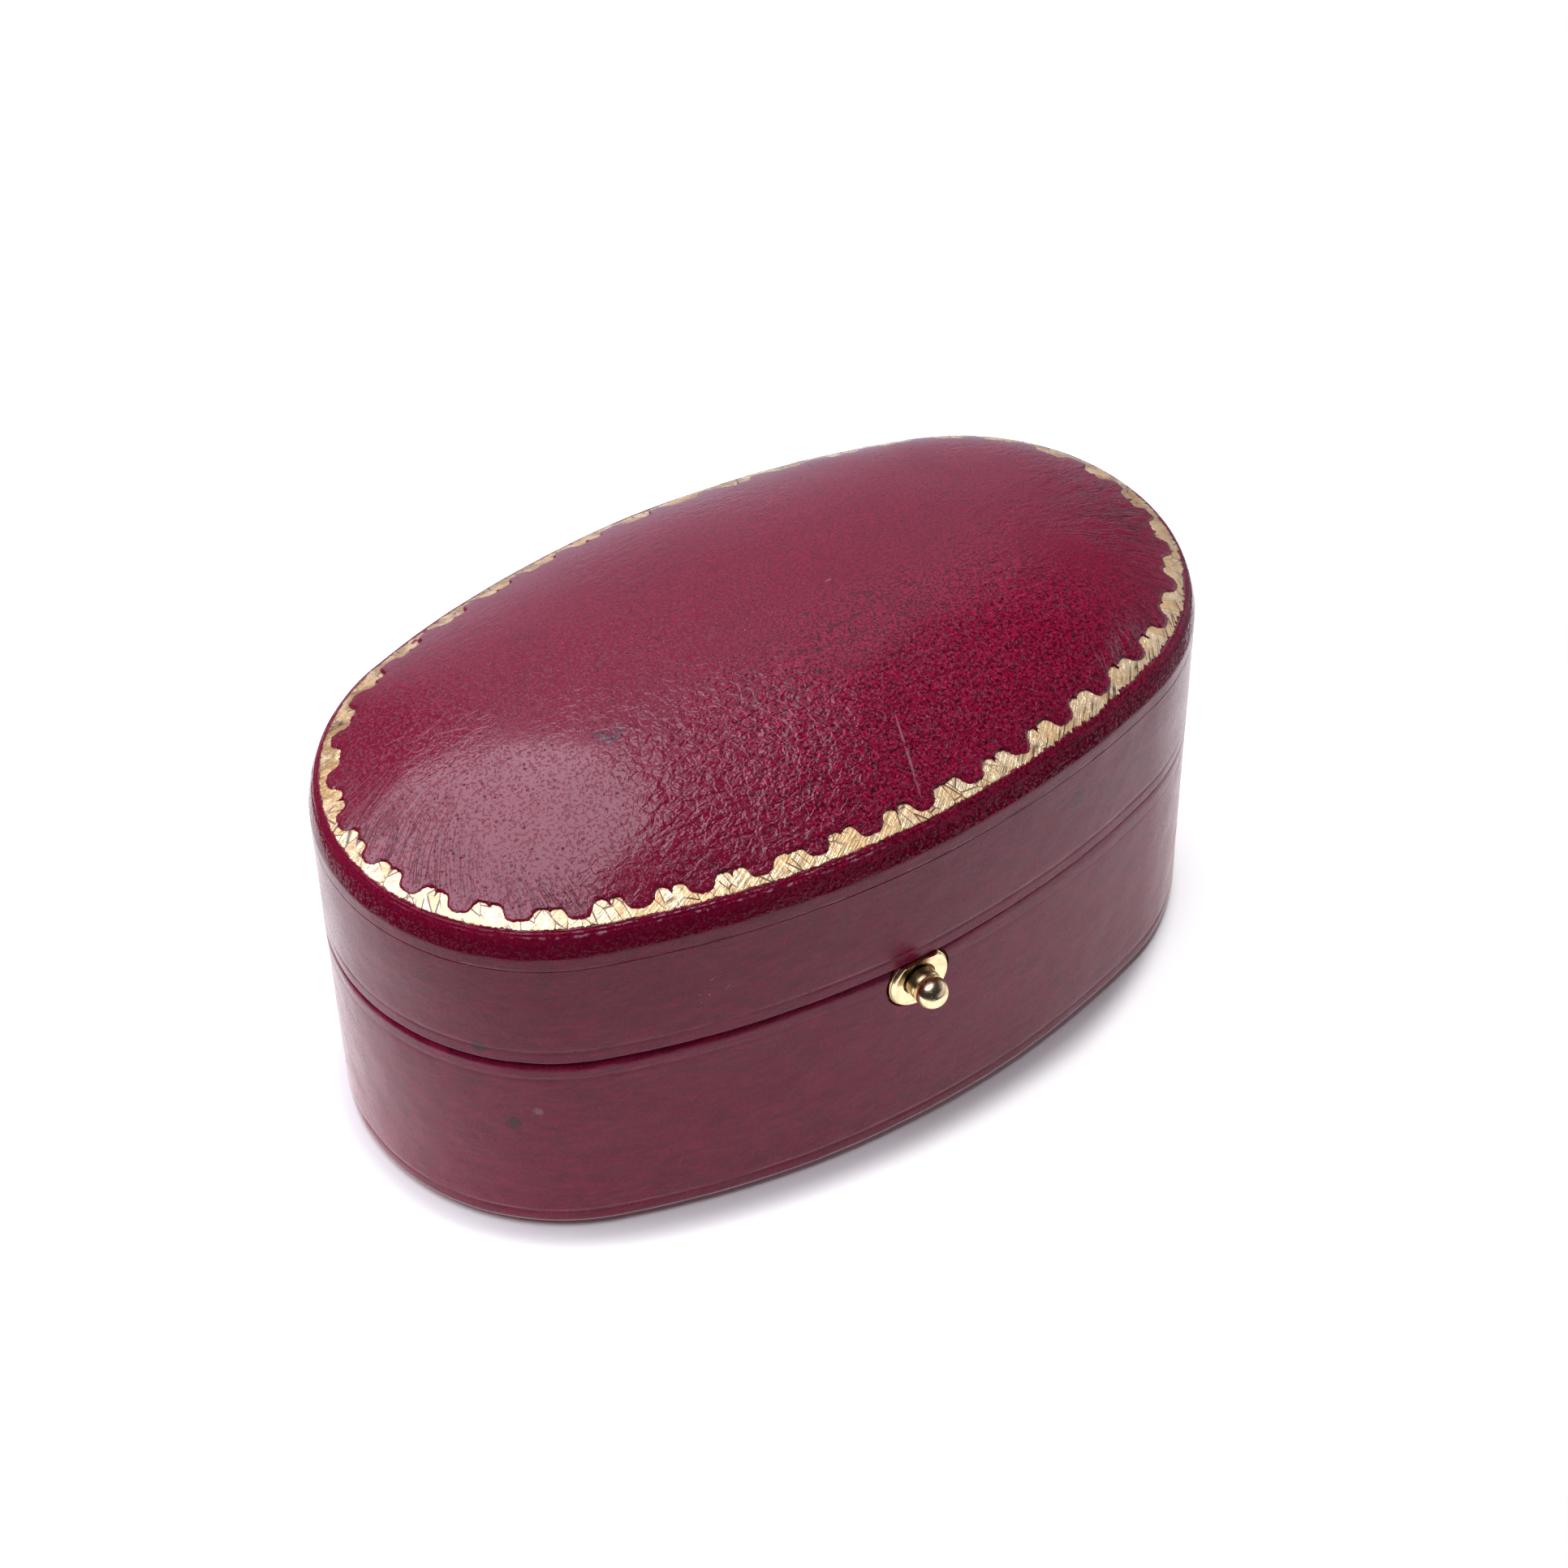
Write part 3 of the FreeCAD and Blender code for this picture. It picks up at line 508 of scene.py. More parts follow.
def cap_leather_paint(name, specular):
    """Glazed goat over the padded top: a speckle of thin and thick dye, pores, pebbles and wrinkles, with
    painted shade in the pores and wrinkles, a painted highlight on the rounded edge's ridges, and a speckle
    contrast painted to follow the highlight.
    """
    paint = Paint(name)
    along, depth = paint.attribute("along"), paint.attribute("depth")
    speckle = paint.noise(0.24, 3, 0.75)
    mottle = paint.noise(7, 3, 0.6)
    crisp = paint.ramp(paint.sum((paint.part(0), -0.37), (paint.part(1), -0.6)), -12, 12, 0.2, 1)
    # Painted light in the speckle: its contrast is lowered where the soft box's highlight falls on the top,
    # and raised in the dark front right, where it partly stands in for glints of the grain
    highlight_zone = paint.ramp(paint.near(-21, -9, 36), 7, 17, 1, 0)
    from_dark_zone = paint.near(8, -22.4, 0, stretch=(1, 1.6, 0))
    contrast = paint.times(paint.ramp(from_dark_zone, 16, 24, 1, 0.4), paint.ramp(highlight_zone, 0, 1, 1, 0.4))
    rough_zone = paint.sum(
        (paint.ramp(paint.noise(9, 2, 0.5), 0.40, 0.65, 0.04, 0.25), 1.0),
        (paint.ramp(paint.near(-8, -12, 36), 5, 13, 1, 0), 0.9),
    )
    pores = paint.times(
        paint.ramp(paint.cells(0.62), 0.11, 0.20, 1, 0), paint.ramp(paint.noise(1.3, 1), 0.42, 0.50),
    )
    pits = paint.times(paint.ramp(paint.noise(0.26, 3, 0.7), 0.33, 0.48, 1, 0), crisp)
    grooves = paint.ramp(paint.cells(0.9, "DISTANCE_TO_EDGE", warp=0.8), 0.0, 0.14)
    crinkle = paint.ramp(paint.noise(0.8, 2, 0.55, stretch=(0.6, 1.1, 1), warp=0.6), 0.38, 0.60)
    dye = paint.math("MULTIPLY_ADD", paint.ramp(speckle, 0.37, 0.63, -0.5, 0.5), contrast, 0.5)
    colour = paint.mix(dye, CAP_DARK, CAP_BRIGHT)
    colour = paint.mix(paint.ramp(mottle, 0.4, 0.75, 0, 0.3), colour, CAP_WORN)
    # Painted shade: the pores are painted almost black, for the shade inside them
    colour = paint.mix(paint.times(pores, 0.85), colour, CAP_PAINTED_SHADE)
    stain = paint.most(
        paint.scratch((-16.9, -3.6), (-16.4, -5.1), 0.3), paint.scratch((-16.0, -4.9), (-15.0, -4.1), 0.24),
    )
    colour = paint.mix(paint.times(stain, 0.75), colour, (0.05, 0.028, 0.04))
    folded = paint.node("CombineXYZ", {0: along, 1: paint.times(depth, 0.16), 2: 0.0}).outputs[0]
    folds = paint.node(
        "TexNoise", {"Vector": folded, "Scale": 1.5, "Detail": 3.0, "Roughness": 0.6, "Distortion": 0.4},
    ).outputs["Fac"]
    wrinkles = paint.times(paint.band(folds, 0.42, 0.50, 0.50, 0.55), paint.attribute("creased"))
    # Painted shade: the wrinkles are painted dark along their folds, for the shade in them
    colour = paint.mix(paint.times(wrinkles, 0.6), colour, CAP_PAINTED_SHADE)
    scratch = paint.most(
        paint.scratch((3.5, -13.2), (1.7, -19.5), 0.05), paint.scratch((6.2, 0.5), (6.8, 0.6), 0.08),
    )
    colour = paint.mix(paint.times(scratch, 0.6), colour, (0.30, 0.14, 0.16))
    # Painted highlight: broken ridges just outside the gilt line, at the front left, are painted pale for the
    # soft box's reflection in them
    ragged = paint.sum((depth, 1.0), (paint.noise(0.9, 4, 0.75), 0.3))
    ridges = paint.most(
        paint.band(ragged, -0.30, -0.22, -0.20, -0.12), paint.band(ragged, -0.06, 0.0, 0.02, 0.08),
    )
    ridges = paint.times(
        ridges, paint.ramp(paint.near(-16, -20, 32.4), 8, 20, 0.8, 0),
        paint.ramp(paint.noise(0.8, 4, 0.75), 0.50, 0.58),
    )
    colour = paint.mix(ridges, colour, (0.42, 0.27, 0.31))
    paint.set(
        Base_Color=colour, Specular_IOR_Level=specular,
        Roughness=paint.ramp(paint.sum((speckle, 0.5), (mottle, 0.5)), 0.3, 0.7, 0.09, 0.14),
    )
    paint.bump(paint.sum(
        (speckle, 0.002), (paint.times(grooves, rough_zone), 0.02), (paint.times(crinkle, rough_zone), 0.06),
        (pits, -0.017), (pores, -0.035), (wrinkles, -0.035), (scratch, 0.02),
    ), 1.0)
    return paint.material


# Marks on the sides: their places, how much smaller than usual, and their colours
SCUFFS = (
    ((-31.4, -13.8, 12.5), 0.0, (0.05, 0.01, 0.02)), ((-29.9, -15.0, 14.0), 0.28, (0.34, 0.15, 0.19)),
    ((16.1, -20.1, 26.4), 0.0, (0.07, 0.012, 0.025)), ((23.7, -18.0, 27.6), 0.1, (0.34, 0.02, 0.03)),
    ((2.95, -21.8, 17.3), -0.1, (0.12, 0.02, 0.012)), ((-33.0, -12.1, 20.65), 0.0, (0.06, 0.01, 0.02)),
)


def side_leather_paint():
    """Smoother leather of the sides, dulled and marked by handling."""
    paint = Paint("burgundy_leather_side")
    grain = paint.noise(0.26, 2, 0.6)
    streaks = paint.noise(0.6, 3, 0.65, stretch=(0.3, 0.3, 1))
    mottle = paint.noise(5, 4, 0.65)
    flecks = paint.ramp(paint.noise(0.33, 2, 0.5), 0.70, 0.75)
    tone = paint.ramp(paint.sum((grain, 0.4), (streaks, 0.6)), 0.36, 0.64)
    colour = paint.mix(tone, (0.165, 0.004, 0.030), (0.285, 0.010, 0.049))
    colour = paint.mix(paint.ramp(mottle, 0.4, 0.75, 0, 0.5), colour, (0.185, 0.009, 0.037))
    colour = paint.mix(paint.times(flecks, 0.6), colour, (0.05, 0.004, 0.010))
    specks = paint.times(
        paint.ramp(paint.near(-16.6, -20.0, 24.3), 0.4, 2.6, 1, 0),
        paint.ramp(paint.noise(0.3, 1), 0.72, 0.75),
    )
    colour = paint.mix(specks, colour, (0.6, 0.5, 0.5))
    ragged = paint.noise(0.5, 3, 0.7)
    for point, smaller, tint in SCUFFS:
        away = paint.sum((paint.near(*point), 1.0), (ragged, -1.6))
        colour = paint.mix(paint.ramp(away, -0.35 - smaller, -0.05 - smaller, 0.8, 0), colour, tint)
    paint.set(
        Base_Color=colour, Specular_IOR_Level=0.17,
        Roughness=paint.ramp(paint.sum((grain, 0.4), (mottle, 0.6)), 0.3, 0.7, 0.20, 0.31),
    )
    paint.bump(paint.sum(
        (grain, 0.014), (streaks, 0.02), (paint.noise(1.6, 3, 0.6), 0.03), (mottle, 0.03), (flecks, -0.02),
    ), 1.0)
    return paint.material


def gilt_paint():
    """Gold leaf on leather: bright, crumpled and cracked across, with painted shade round its pressed edge.
    """
    paint = Paint("gilt_leaf")
    along, across, rim = paint.attribute("along"), paint.attribute("across"), paint.attribute("rim")
    lean = paint.sum((along, 1.0), (across, 0.45))
    flat = paint.node("CombineXYZ", {0: lean, 1: paint.times(across, 0.55), 2: 0.0}).outputs[0]
    plates = paint.node("TexVoronoi", {"Vector": flat, "Scale": 0.95}, feature="DISTANCE_TO_EDGE")
    shade = paint.node("TexVoronoi", {"Vector": flat, "Scale": 0.95}, feature="F1").outputs["Color"]
    facet = paint.node("SeparateColor", {0: shade}).outputs[0]
    skidded = paint.band(along, 2, 14, 32, 44)
    crack = paint.times(
        paint.ramp(plates.outputs["Distance"], 0.012, 0.035, 1, 0),
        paint.ramp(paint.noise(2.2, 1), 0.42, 0.52), paint.ramp(skidded, 0, 1, 1, 0.25),
    )
    slant = paint.sum((along, 1.0), (across, -1.5))
    strokes = paint.node("CombineXYZ", {0: paint.times(slant, 3.6), 1: paint.times(across, 0.6), 2: 3.0})
    streaks = paint.node("TexNoise", {
        "Vector": strokes.outputs[0], "Scale": 1.0, "Detail": 3.0, "Roughness": 0.6,
    }).outputs["Fac"]
    hatch = paint.times(
        paint.ramp(streaks, 0.54, 0.58), paint.ramp(across, 0.45, 1.0, 1, 0),
        paint.ramp(skidded, 0, 1, 0.1, 1),
    )
    worn = paint.ramp(paint.noise(0.35, 3, 0.65), 0.72, 0.75)
    bare = paint.most(crack, worn, hatch)
    # Painted shade: a dark brown line round the leaf's edges, for the shade of the leather's pressed step
    edge = paint.ramp(paint.sum((rim, 1.0), (paint.noise(0.3, 2), 0.12)), 0.06, 0.16, 0.85, 0)
    tone = paint.sum((paint.noise(0.8, 3, 0.6), 0.5), (facet, 0.5))
    leaf = paint.mix(paint.ramp(tone, 0.25, 0.75), (0.86, 0.58, 0.26), (1.0, 0.80, 0.46))
    # Darker leaf towards the back, in patches, set by place
    back = paint.ramp(paint.math("ABSOLUTE", along), 34, 50, 0.0, 0.85)
    darker_at_back = paint.times(paint.ramp(paint.noise(1.6, 4, 0.7), 0.40, 0.56), back)
    leaf = paint.mix(darker_at_back, leaf, (0.46, 0.27, 0.085))
    leaf = paint.mix(edge, leaf, (0.16, 0.085, 0.025))
    paint.set(
        Base_Color=paint.mix(paint.times(bare, 0.9), leaf, (0.07, 0.014, 0.010)),
        Metallic=paint.ramp(bare, 0, 1, 0.5, 0.0), Roughness=paint.ramp(tone, 0.3, 0.7, 0.38, 0.25),
        Coat_Weight=0.6, Coat_Roughness=0.25, Coat_IOR=1.7,
    )
    paint.bump(paint.sum(
        (paint.noise(0.55, 3, 0.6), 0.13), (facet, 0.08), (streaks, 0.10), (bare, -0.04),
    ), 1.0)
    return paint.material


def brass_paint(name, tarnish):
    """Polished brass, tarnished in patches, with painted brown shade in the bore and on the stem behind the
    button.
    """
    paint = Paint(name)
    from_axis = paint.near(0, 0, BUTTON_LEVEL, stretch=(1, 0, 1))
    behind = paint.ramp(paint.part(1), -23.15, -22.85)
    # Painted shade: the bore and the stem behind the ball are painted dark brown, where the collar shades
    # them
    bore_painted_shade = paint.times(paint.ramp(from_axis, 1.36, 1.50, 0.75, 0), behind)
    patina = paint.noise(1.3, 4, 0.65)
    specks = paint.ramp(paint.noise(0.22, 3, 0.6), 0.62, 0.72)
    colour = paint.mix(paint.ramp(patina, 0.35, 0.75, 0, tarnish), (0.83, 0.68, 0.40), (0.36, 0.22, 0.09))
    colour = paint.mix(paint.times(specks, 0.5), colour, (0.13, 0.08, 0.035))
    colour = paint.mix(bore_painted_shade, colour, (0.20, 0.12, 0.06))
    paint.set(
        Base_Color=colour, Metallic=1.0,
        Roughness=paint.sum((paint.ramp(patina, 0.3, 0.7, 0.14, 0.32), 1.0), (specks, 0.2)),
    )
    paint.bump(paint.sum((paint.noise(0.7, 3, 0.6), 1.0), (specks, -0.4)), 0.012)
    return paint.material


def plain_paint(name, noises, shares, colours, relief, depth, rough, **shading):
    """A material of one or two noises: their shares in the colour, and in the relief of a depth."""
    paint = Paint(name)
    made = [paint.noise(*values) for values in noises]
    colour = paint.mix(paint.sum(*zip(made, shares)), *colours)
    roughness = paint.ramp(made[-1], 0.3, 0.7, *rough) if isinstance(rough, tuple) else rough
    paint.set(Base_Color=colour, Roughness=roughness, **shading)
    paint.bump(paint.sum(*zip(made, relief)), depth)
    return paint.material


cap_leather = cap_leather_paint("burgundy_leather_cap", 0.47)
edge_leather = cap_leather_paint("burgundy_leather_edge", 0.12)
side_leather = side_leather_paint()
gilt = gilt_paint()
brass = brass_paint("aged_brass_hinge", 0.5)
bright_brass = brass_paint("polished_brass_catch", 0.4)
velvet = plain_paint(
    "cream_velvet_pile", ((4, 3, 0.6), (0.16, 2, 0.7)), (0.7, 0.3), ((0.52, 0.42, 0.28), (0.80, 0.70, 0.53)),
    (0.5, 0.8), 0.10, 0.95, Specular_IOR_Level=0.15, Sheen_Weight=0.55, Sheen_Roughness=0.4,
    Sheen_Tint=(1.0, 0.94, 0.82, 1),
)
satin = plain_paint(
    "cream_satin_weave", ((5, 3, 0.55), (0.12, 1, 0.5, (0.12, 1, 1))), (0.6, 0.4),
    ((0.66, 0.56, 0.40), (0.84, 0.76, 0.60)), (0.0, 1.0), 0.02, (0.32, 0.46), Specular_IOR_Level=0.6,
    Sheen_Weight=0.2, Sheen_Roughness=0.3,
)
wood = plain_paint(
    "carcass_beech", ((2.4, 3, 0.6, (0.05, 1, 1), 0.6), (0.5, 4, 0.65, (0.06, 1, 1))), (0.65, 0.35),
    ((0.27, 0.16, 0.08), (0.56, 0.40, 0.24)), (0.0, 1.0), 0.04, (0.6, 0.8),
)
card = plain_paint(
    "grey_pasteboard", ((0.4, 4, 0.7),), (1.0,), ((0.20, 0.17, 0.14), (0.32, 0.28, 0.23)), (1.0,), 0.03, 0.9,
)
wadding = plain_paint(
    "cotton_wadding", ((0.6, 5, 0.7),), (1.0,), ((0.60, 0.56, 0.48), (0.82, 0.79, 0.72)), (1.0,), 0.25, 1.0,
    Sheen_Weight=0.4,
)


# Leather covers: points round the oval, rounding of the seam's lips, the base's rim, the catch's half length

ROUND = 960
LIP = 0.06
RIM_START = 18.5
RIM_ROUND = 0.9
FLANGE_HALF = 4.2


def side_push(columns, inset, level):
    """Gentle unevenness of the pasted leather, in millimetres outwards."""
    x, y = columns.plan(0)
    if level > RIM_START and 0 < inset < RIM_ROUND + 0.01 and level < JOINT:
        return inset * 0.8 * step(-4, 8, x)
    if inset >= LEATHER / 2:
        return np.zeros_like(x)
    uneven = 0.06 * noise(3, x / 9, y / 9, level / 7) + 0.02 * noise(4, x / 1.8, y / 1.8, level / 1.8)
    for at, half, deep in CREASED_LINES:
        strength = 0.75 + 0.6 * noise(5, x / 4, y / 4, at)
        uneven = uneven - deep * strength * bell(level, at, half)
    return uneven


base_outline = (
    [(6.0, 0.4)]
    + arc((0.6, 1.0), 0.6, 270, 180)
    + wall(1.1, RIM_START)
    + arc((RIM_ROUND, 18.57), RIM_ROUND, 180, 90, 9)
    + [(WALL_INSET, 19.45), (WALL_INSET, BASE_WOOD), (LEATHER, BASE_WOOD), (LEATHER, 1.1), (6.0, 1.1)]
)
lid_side_outline = (
    [(WALL_INSET, 19.52)]
    + arc((0.08, 19.6), 0.08, 270, 180, 4)
    + wall(19.7, SEAM - LIP - 0.02)
    + arc((LIP, SEAM - LIP), LIP, 180, 90, 4)
    + [(LEATHER, SEAM), (LEATHER, LID_WOOD), (WALL_INSET, LID_WOOD)]
)

HINGE_HALF = 13.0
HINGE_Y = HALF_WIDTH - 1.3
BEVEL = math.tan(math.radians(51))


def hinge_wedge():
    far = HINGE_Y + 6
    return prism_piece(
        "hinge_wedge", [(HINGE_Y, JOINT), (far, JOINT - 6 * BEVEL), (far, JOINT + 6 * BEVEL)], 0, -30, 30,
    )


def hinge_groove():
    outline = circle((HINGE_Y, JOINT), 1.35, 32)
    return prism_piece("hinge_groove", outline, 0, -HINGE_HALF - 0.1, HINGE_HALF + 0.1)


def plate_outline(radius, top):
    """The brass plate round the button, seen from the front: a disc with its top cut off."""
    reach = math.acos((top - BUTTON_LEVEL) / radius)
    angles = np.linspace(reach, 2 * math.pi - reach, 73)
    return [(radius * math.sin(a), BUTTON_LEVEL + radius * math.cos(a)) for a in angles]


base_cover = swept("base_leather_cover", base_outline, ROUND, side_push)
carve(
    base_cover, "DIFFERENCE", hinge_wedge(), hinge_groove(),
    box_piece("rim_rebate", (-HINGE_HALF, 10, BASE_WOOD), (HINGE_HALF, 25, 20)),
    prism_piece("plate_opening", plate_outline(2.9, 19.9), 1, -24, -20.5),
    box_piece("flange_opening", (-FLANGE_HALF, -21.1, BASE_WOOD), (FLANGE_HALF, -15, 20)),
    box_piece("bridge_opening", (-1.97, -24, BASE_WOOD), (1.97, -21, 20)),
)
settle(base_cover, "base", "burgundy_leather", side_leather, "base_leather")

lid_side = swept("lid_side_cover", lid_side_outline, ROUND, side_push)
carve(
    lid_side, "DIFFERENCE", hinge_wedge(), hinge_groove(),
    box_piece("rim_rebate", (-HINGE_HALF, 10, 19), (HINGE_HALF, 25, LID_WOOD)),
    box_piece("keeper_opening", (-FLANGE_HALF, -21.1, 19), (FLANGE_HALF, -15, LID_WOOD)),
)
settle(lid_side, "lid", "burgundy_leather", side_leather, "lid_side_leather")


# Padded top: gilt border, tooled into the leather

REPEATS = 40
PITCH = GILT_LENGTH / REPEATS
MOTIF_AT = (0, 0.12, 0.35, 0.8, 1.02, 1.2, 1.32, 1.45, 1.62, 1.9, 2.4)
MOTIF_DEPTH = (1.42, 1.53, 1.62, 1.62, 1.55, 1.36, 1.08, 0.87, 0.73, 0.65, 0.62)
GILT_PHASE = 0.12


def gilt_repeat(along):
    """Number of the motif at a length, and the signed distance from its middle."""
    turn = along / PITCH + GILT_PHASE
    number = np.floor(turn + 0.5)
    return number, (turn - number) * PITCH


def gilt_inner(along):
    """Depth of the border's scalloped inner edge."""
    number, away = gilt_repeat(along)
    whole = number[..., None].astype(np.int64) % REPEATS
    luck, other, third = hashed(whole, 5), hashed(whole, 6), hashed(whole, 7)
    away = away + 0.3 * (other - 0.5)
    skew = 0.16 * step(-6, 14, along)
    width = (0.94 + 0.14 * luck) * np.where(away < 0, 1 - skew, 1 + 1.2 * skew)
    depth = np.interp(np.abs(away) / width, MOTIF_AT, MOTIF_DEPTH)
    depth = 0.62 + (depth - 0.62) * (0.88 + 0.27 * other)
    split = bell(away, 0.25 * (third - 0.5), 0.05 + 0.05 * luck) * step(0.25, 0.55, third)
    depth = depth - 0.4 * split
    return depth + 0.06 * noise(8, along / 0.5) + 0.035 * noise(9, along / 0.16)


def gilt_outer(along):
    """Depth of its outer edge, frayed where the roll skidded at the front right."""
    frayed = 0.5 + 0.9 * step(4, 16, along) * step(60, 45, along)
    rough = 0.07 * noise(10, along / 1.1) + 0.09 * noise(11, along / 0.22) + 0.05 * noise(13, along / 0.1)
    return 0.06 + frayed * rough


def pressed(depth):
    """How deep the hot roll has pressed the border, flatter than the dome."""
    return 0.05 + 0.13 * np.clip(depth, 0, 1.8)


def tooled(along, depth):
    """How deep the leather is pressed in: the border's depth inside its edges, 0 elsewhere."""
    inside = step(-0.09, 0.05, gilt_inner(along) - depth) * step(-0.07, 0.07, depth - gilt_outer(along))
    return pressed(depth) * inside


def creased(along, depth):
    """How much the leather is gathered in wrinkles, from 0 to 1 or so."""
    tips = bell(along, QUARTER - 3, 9) + 0.6 * bell(along, 5 - QUARTER, 8)
    places = (
        0.12 + 0.9 * tips + 0.7 * bell(along, -28, 4) + 0.7 * bell(along, -16, 5) + 0.8 * bell(along, 26, 5)
    )
    places = places * step(GILT_LENGTH / 2, GILT_LENGTH / 2 - 6, np.abs(along))
    reach = 3 + 5.5 * tips
    return places * step(0.5, 2.2, depth) * (1 - step(reach * 0.4, reach * 1.6, depth))


def slanted(along, depth):
    """Length along the border at which a wrinkle through a point starts."""
    lean = step(2, 10, np.abs(along)) * step(36, 24, along)
    return along - 0.7 * depth * np.sign(along) * lean


def creases(along, depth):
    """Wrinkles that run from the border into the dome, in millimetres."""
    start = slanted(along, depth)
    fine = (1 - np.abs(noise(20, start / 0.9, depth / 5))) ** 5
    broad = (1 - np.abs(noise(21, start / 2.1 + 7, depth / 7))) ** 3
    return -creased(along, depth) * (0.024 * fine + 0.03 * broad)


# Ridges along the rounded edge: depth inside the gilt line, half width and height
EDGE_RIDGES = ((-0.10, 0.06, 0.05), (-0.30, 0.07, 0.05), (-0.52, 0.07, 0.04))


def top_relief(x, y):
    """Relief of the padded top's leather, outwards."""
    along, depth = locate(x, y)
    relief = 0.05 * noise(1, x / 9, y / 9) + 0.02 * noise(2, x / 3, y / 3)
    relief = relief + creases(along, depth) - tooled(along, depth)
    broken = 0.6 + 0.6 * noise(12, along / 0.9, depth / 0.3)
    ridges = sum(deep * bell(depth, at, half) for at, half, deep in EDGE_RIDGES)
    return relief * step(-0.9, -0.2, depth) - ridges * broken


def plan_rings(columns, share):
    """Rings of the top that follow the oval near its border and shrink to its middle."""
    inset_x, inset_y = columns.plan(GILT_INSET + (1 - share) * (HALF_WIDTH - GILT_INSET))
    foot_x, foot_y = columns.plan(GILT_INSET)
    weight = step(0.75, 1.0, share)
    return weight * inset_x + (1 - weight) * share * foot_x, weight * inset_y + (1 - weight) * share * foot_y


def surface_normals(x, y):
    away = 0.02
    slope_x = (top_level(x + away, y) - top_level(x - away, y)) / (2 * away)
    slope_y = (top_level(x, y + away) - top_level(x, y - away)) / (2 * away)
    normal = np.stack([-slope_x, -slope_y, np.ones_like(slope_x)], -1)
    return normal / np.linalg.norm(normal, axis=-1, keepdims=True)


def ring_count(share):
    """Points in a ring of the padded top, fewer towards its middle."""
    for least, parts in ((0.5, 1), (0.25, 2), (0.1, 4)):
        if share > least:
            return ROUND // parts
    return ROUND // 8


def cap_cover():
    """Outer side of the cap's leather, from the turned-down edge to the middle."""
    outer = []
    columns = even_columns(ROUND)
    for level in np.linspace(SEAM + LIP, EDGE_START, 5):
        ring = columns.ring(0, level)
        outer.append(ring + columns.outward() * side_push(columns, 0, level)[:, None])
    levels = np.concatenate([np.linspace(EDGE_START, 32.0, 12)[1:], np.linspace(32.0, DOME_FOOT, 30)[1:-1]])
    for level in levels:
        inset, lean = np.interp(level, EDGE_LEVELS, EDGE_INSETS), np.interp(level, EDGE_LEVELS, EDGE_LEAN)
        ring = columns.ring(inset, level)
        tilt = columns.outward() * math.cos(lean)
        tilt[:, 2] = math.sin(lean)
        moved = top_relief(ring[:, 0], ring[:, 1])
        moved = moved + (1 - lean / EDGE_LEAN[-1]) * side_push(columns, 0, EDGE_START)
        outer.append(ring + tilt * moved[:, None])
    shares = np.concatenate([
        np.linspace(1, 0.85, 26)[:-1], np.linspace(0.85, 0.61, 21)[:-1], np.linspace(0.61, 0.03, 30),
    ])
    for share in shares:
        x, y = plan_rings(even_columns(ring_count(share)), share)
        ring = np.stack([x, y, top_level(x, y)], -1)
        outer.append(ring + surface_normals(x, y) * top_relief(x, y)[:, None])
    return outer


def inner_cap():
    """Inner side of the cap's leather, from the turned-down edge to the middle."""
    columns = even_columns(ROUND)
    rings = [columns.ring(LEATHER, SEAM), columns.ring(LEATHER, CORNER)]
    for angle in np.linspace(0, CORNER_TURN, 5)[1:]:
        radius = CORNER_RADIUS - LEATHER
        level = CORNER + radius * math.sin(angle)
        rings.append(columns.ring(CORNER_RADIUS - radius * math.cos(angle), level))
    for share in (0.95, 0.9, 0.8, 0.7, 0.6, 0.49, 0.4, 0.3, 0.24, 0.15, 0.08, 0.04):
        x, y = plan_rings(even_columns(ring_count(share)), share)
        rings.append(np.stack([x, y, top_level(x, y)], -1) - LEATHER * surface_normals(x, y))
    return rings


lip = [even_columns(ROUND).ring(LIP * 0.4, SEAM + LIP * 0.3), even_columns(ROUND).ring(LIP, SEAM + 0.02)]
cap_rings = cap_cover()[::-1] + lip + inner_cap()
cap = ring_piece("lid_cap_cover", cap_rings)
cap_along, cap_depth = locate(*np.concatenate(cap_rings)[:, :2].T)
add_attribute(cap, "along", slanted(cap_along, cap_depth))
add_attribute(cap, "depth", cap_depth)
add_attribute(cap, "creased", creased(cap_along, cap_depth))
settle(cap, "lid", "burgundy_leather", cap_leather, "lid_cap_leather")

# The cap's leather is glazed on top, matt on the rounded edge and like the sides below it
TURNED_DOWN = 30.95
EDGE_DEPTH = -0.05
cap.data.materials.append(side_leather)
cap.data.materials.append(edge_leather)
centres = np.zeros(len(cap.data.polygons) * 3)
cap.data.polygons.foreach_get("center", centres)
face_x, face_y, face_z = centres.reshape(-1, 3).T / MM
on_edge = np.where(locate(face_x, face_y)[1] < EDGE_DEPTH, 2, 0)
cap.data.polygons.foreach_set("material_index", np.where(face_z < TURNED_DOWN, 1, on_edge).astype(np.int32))


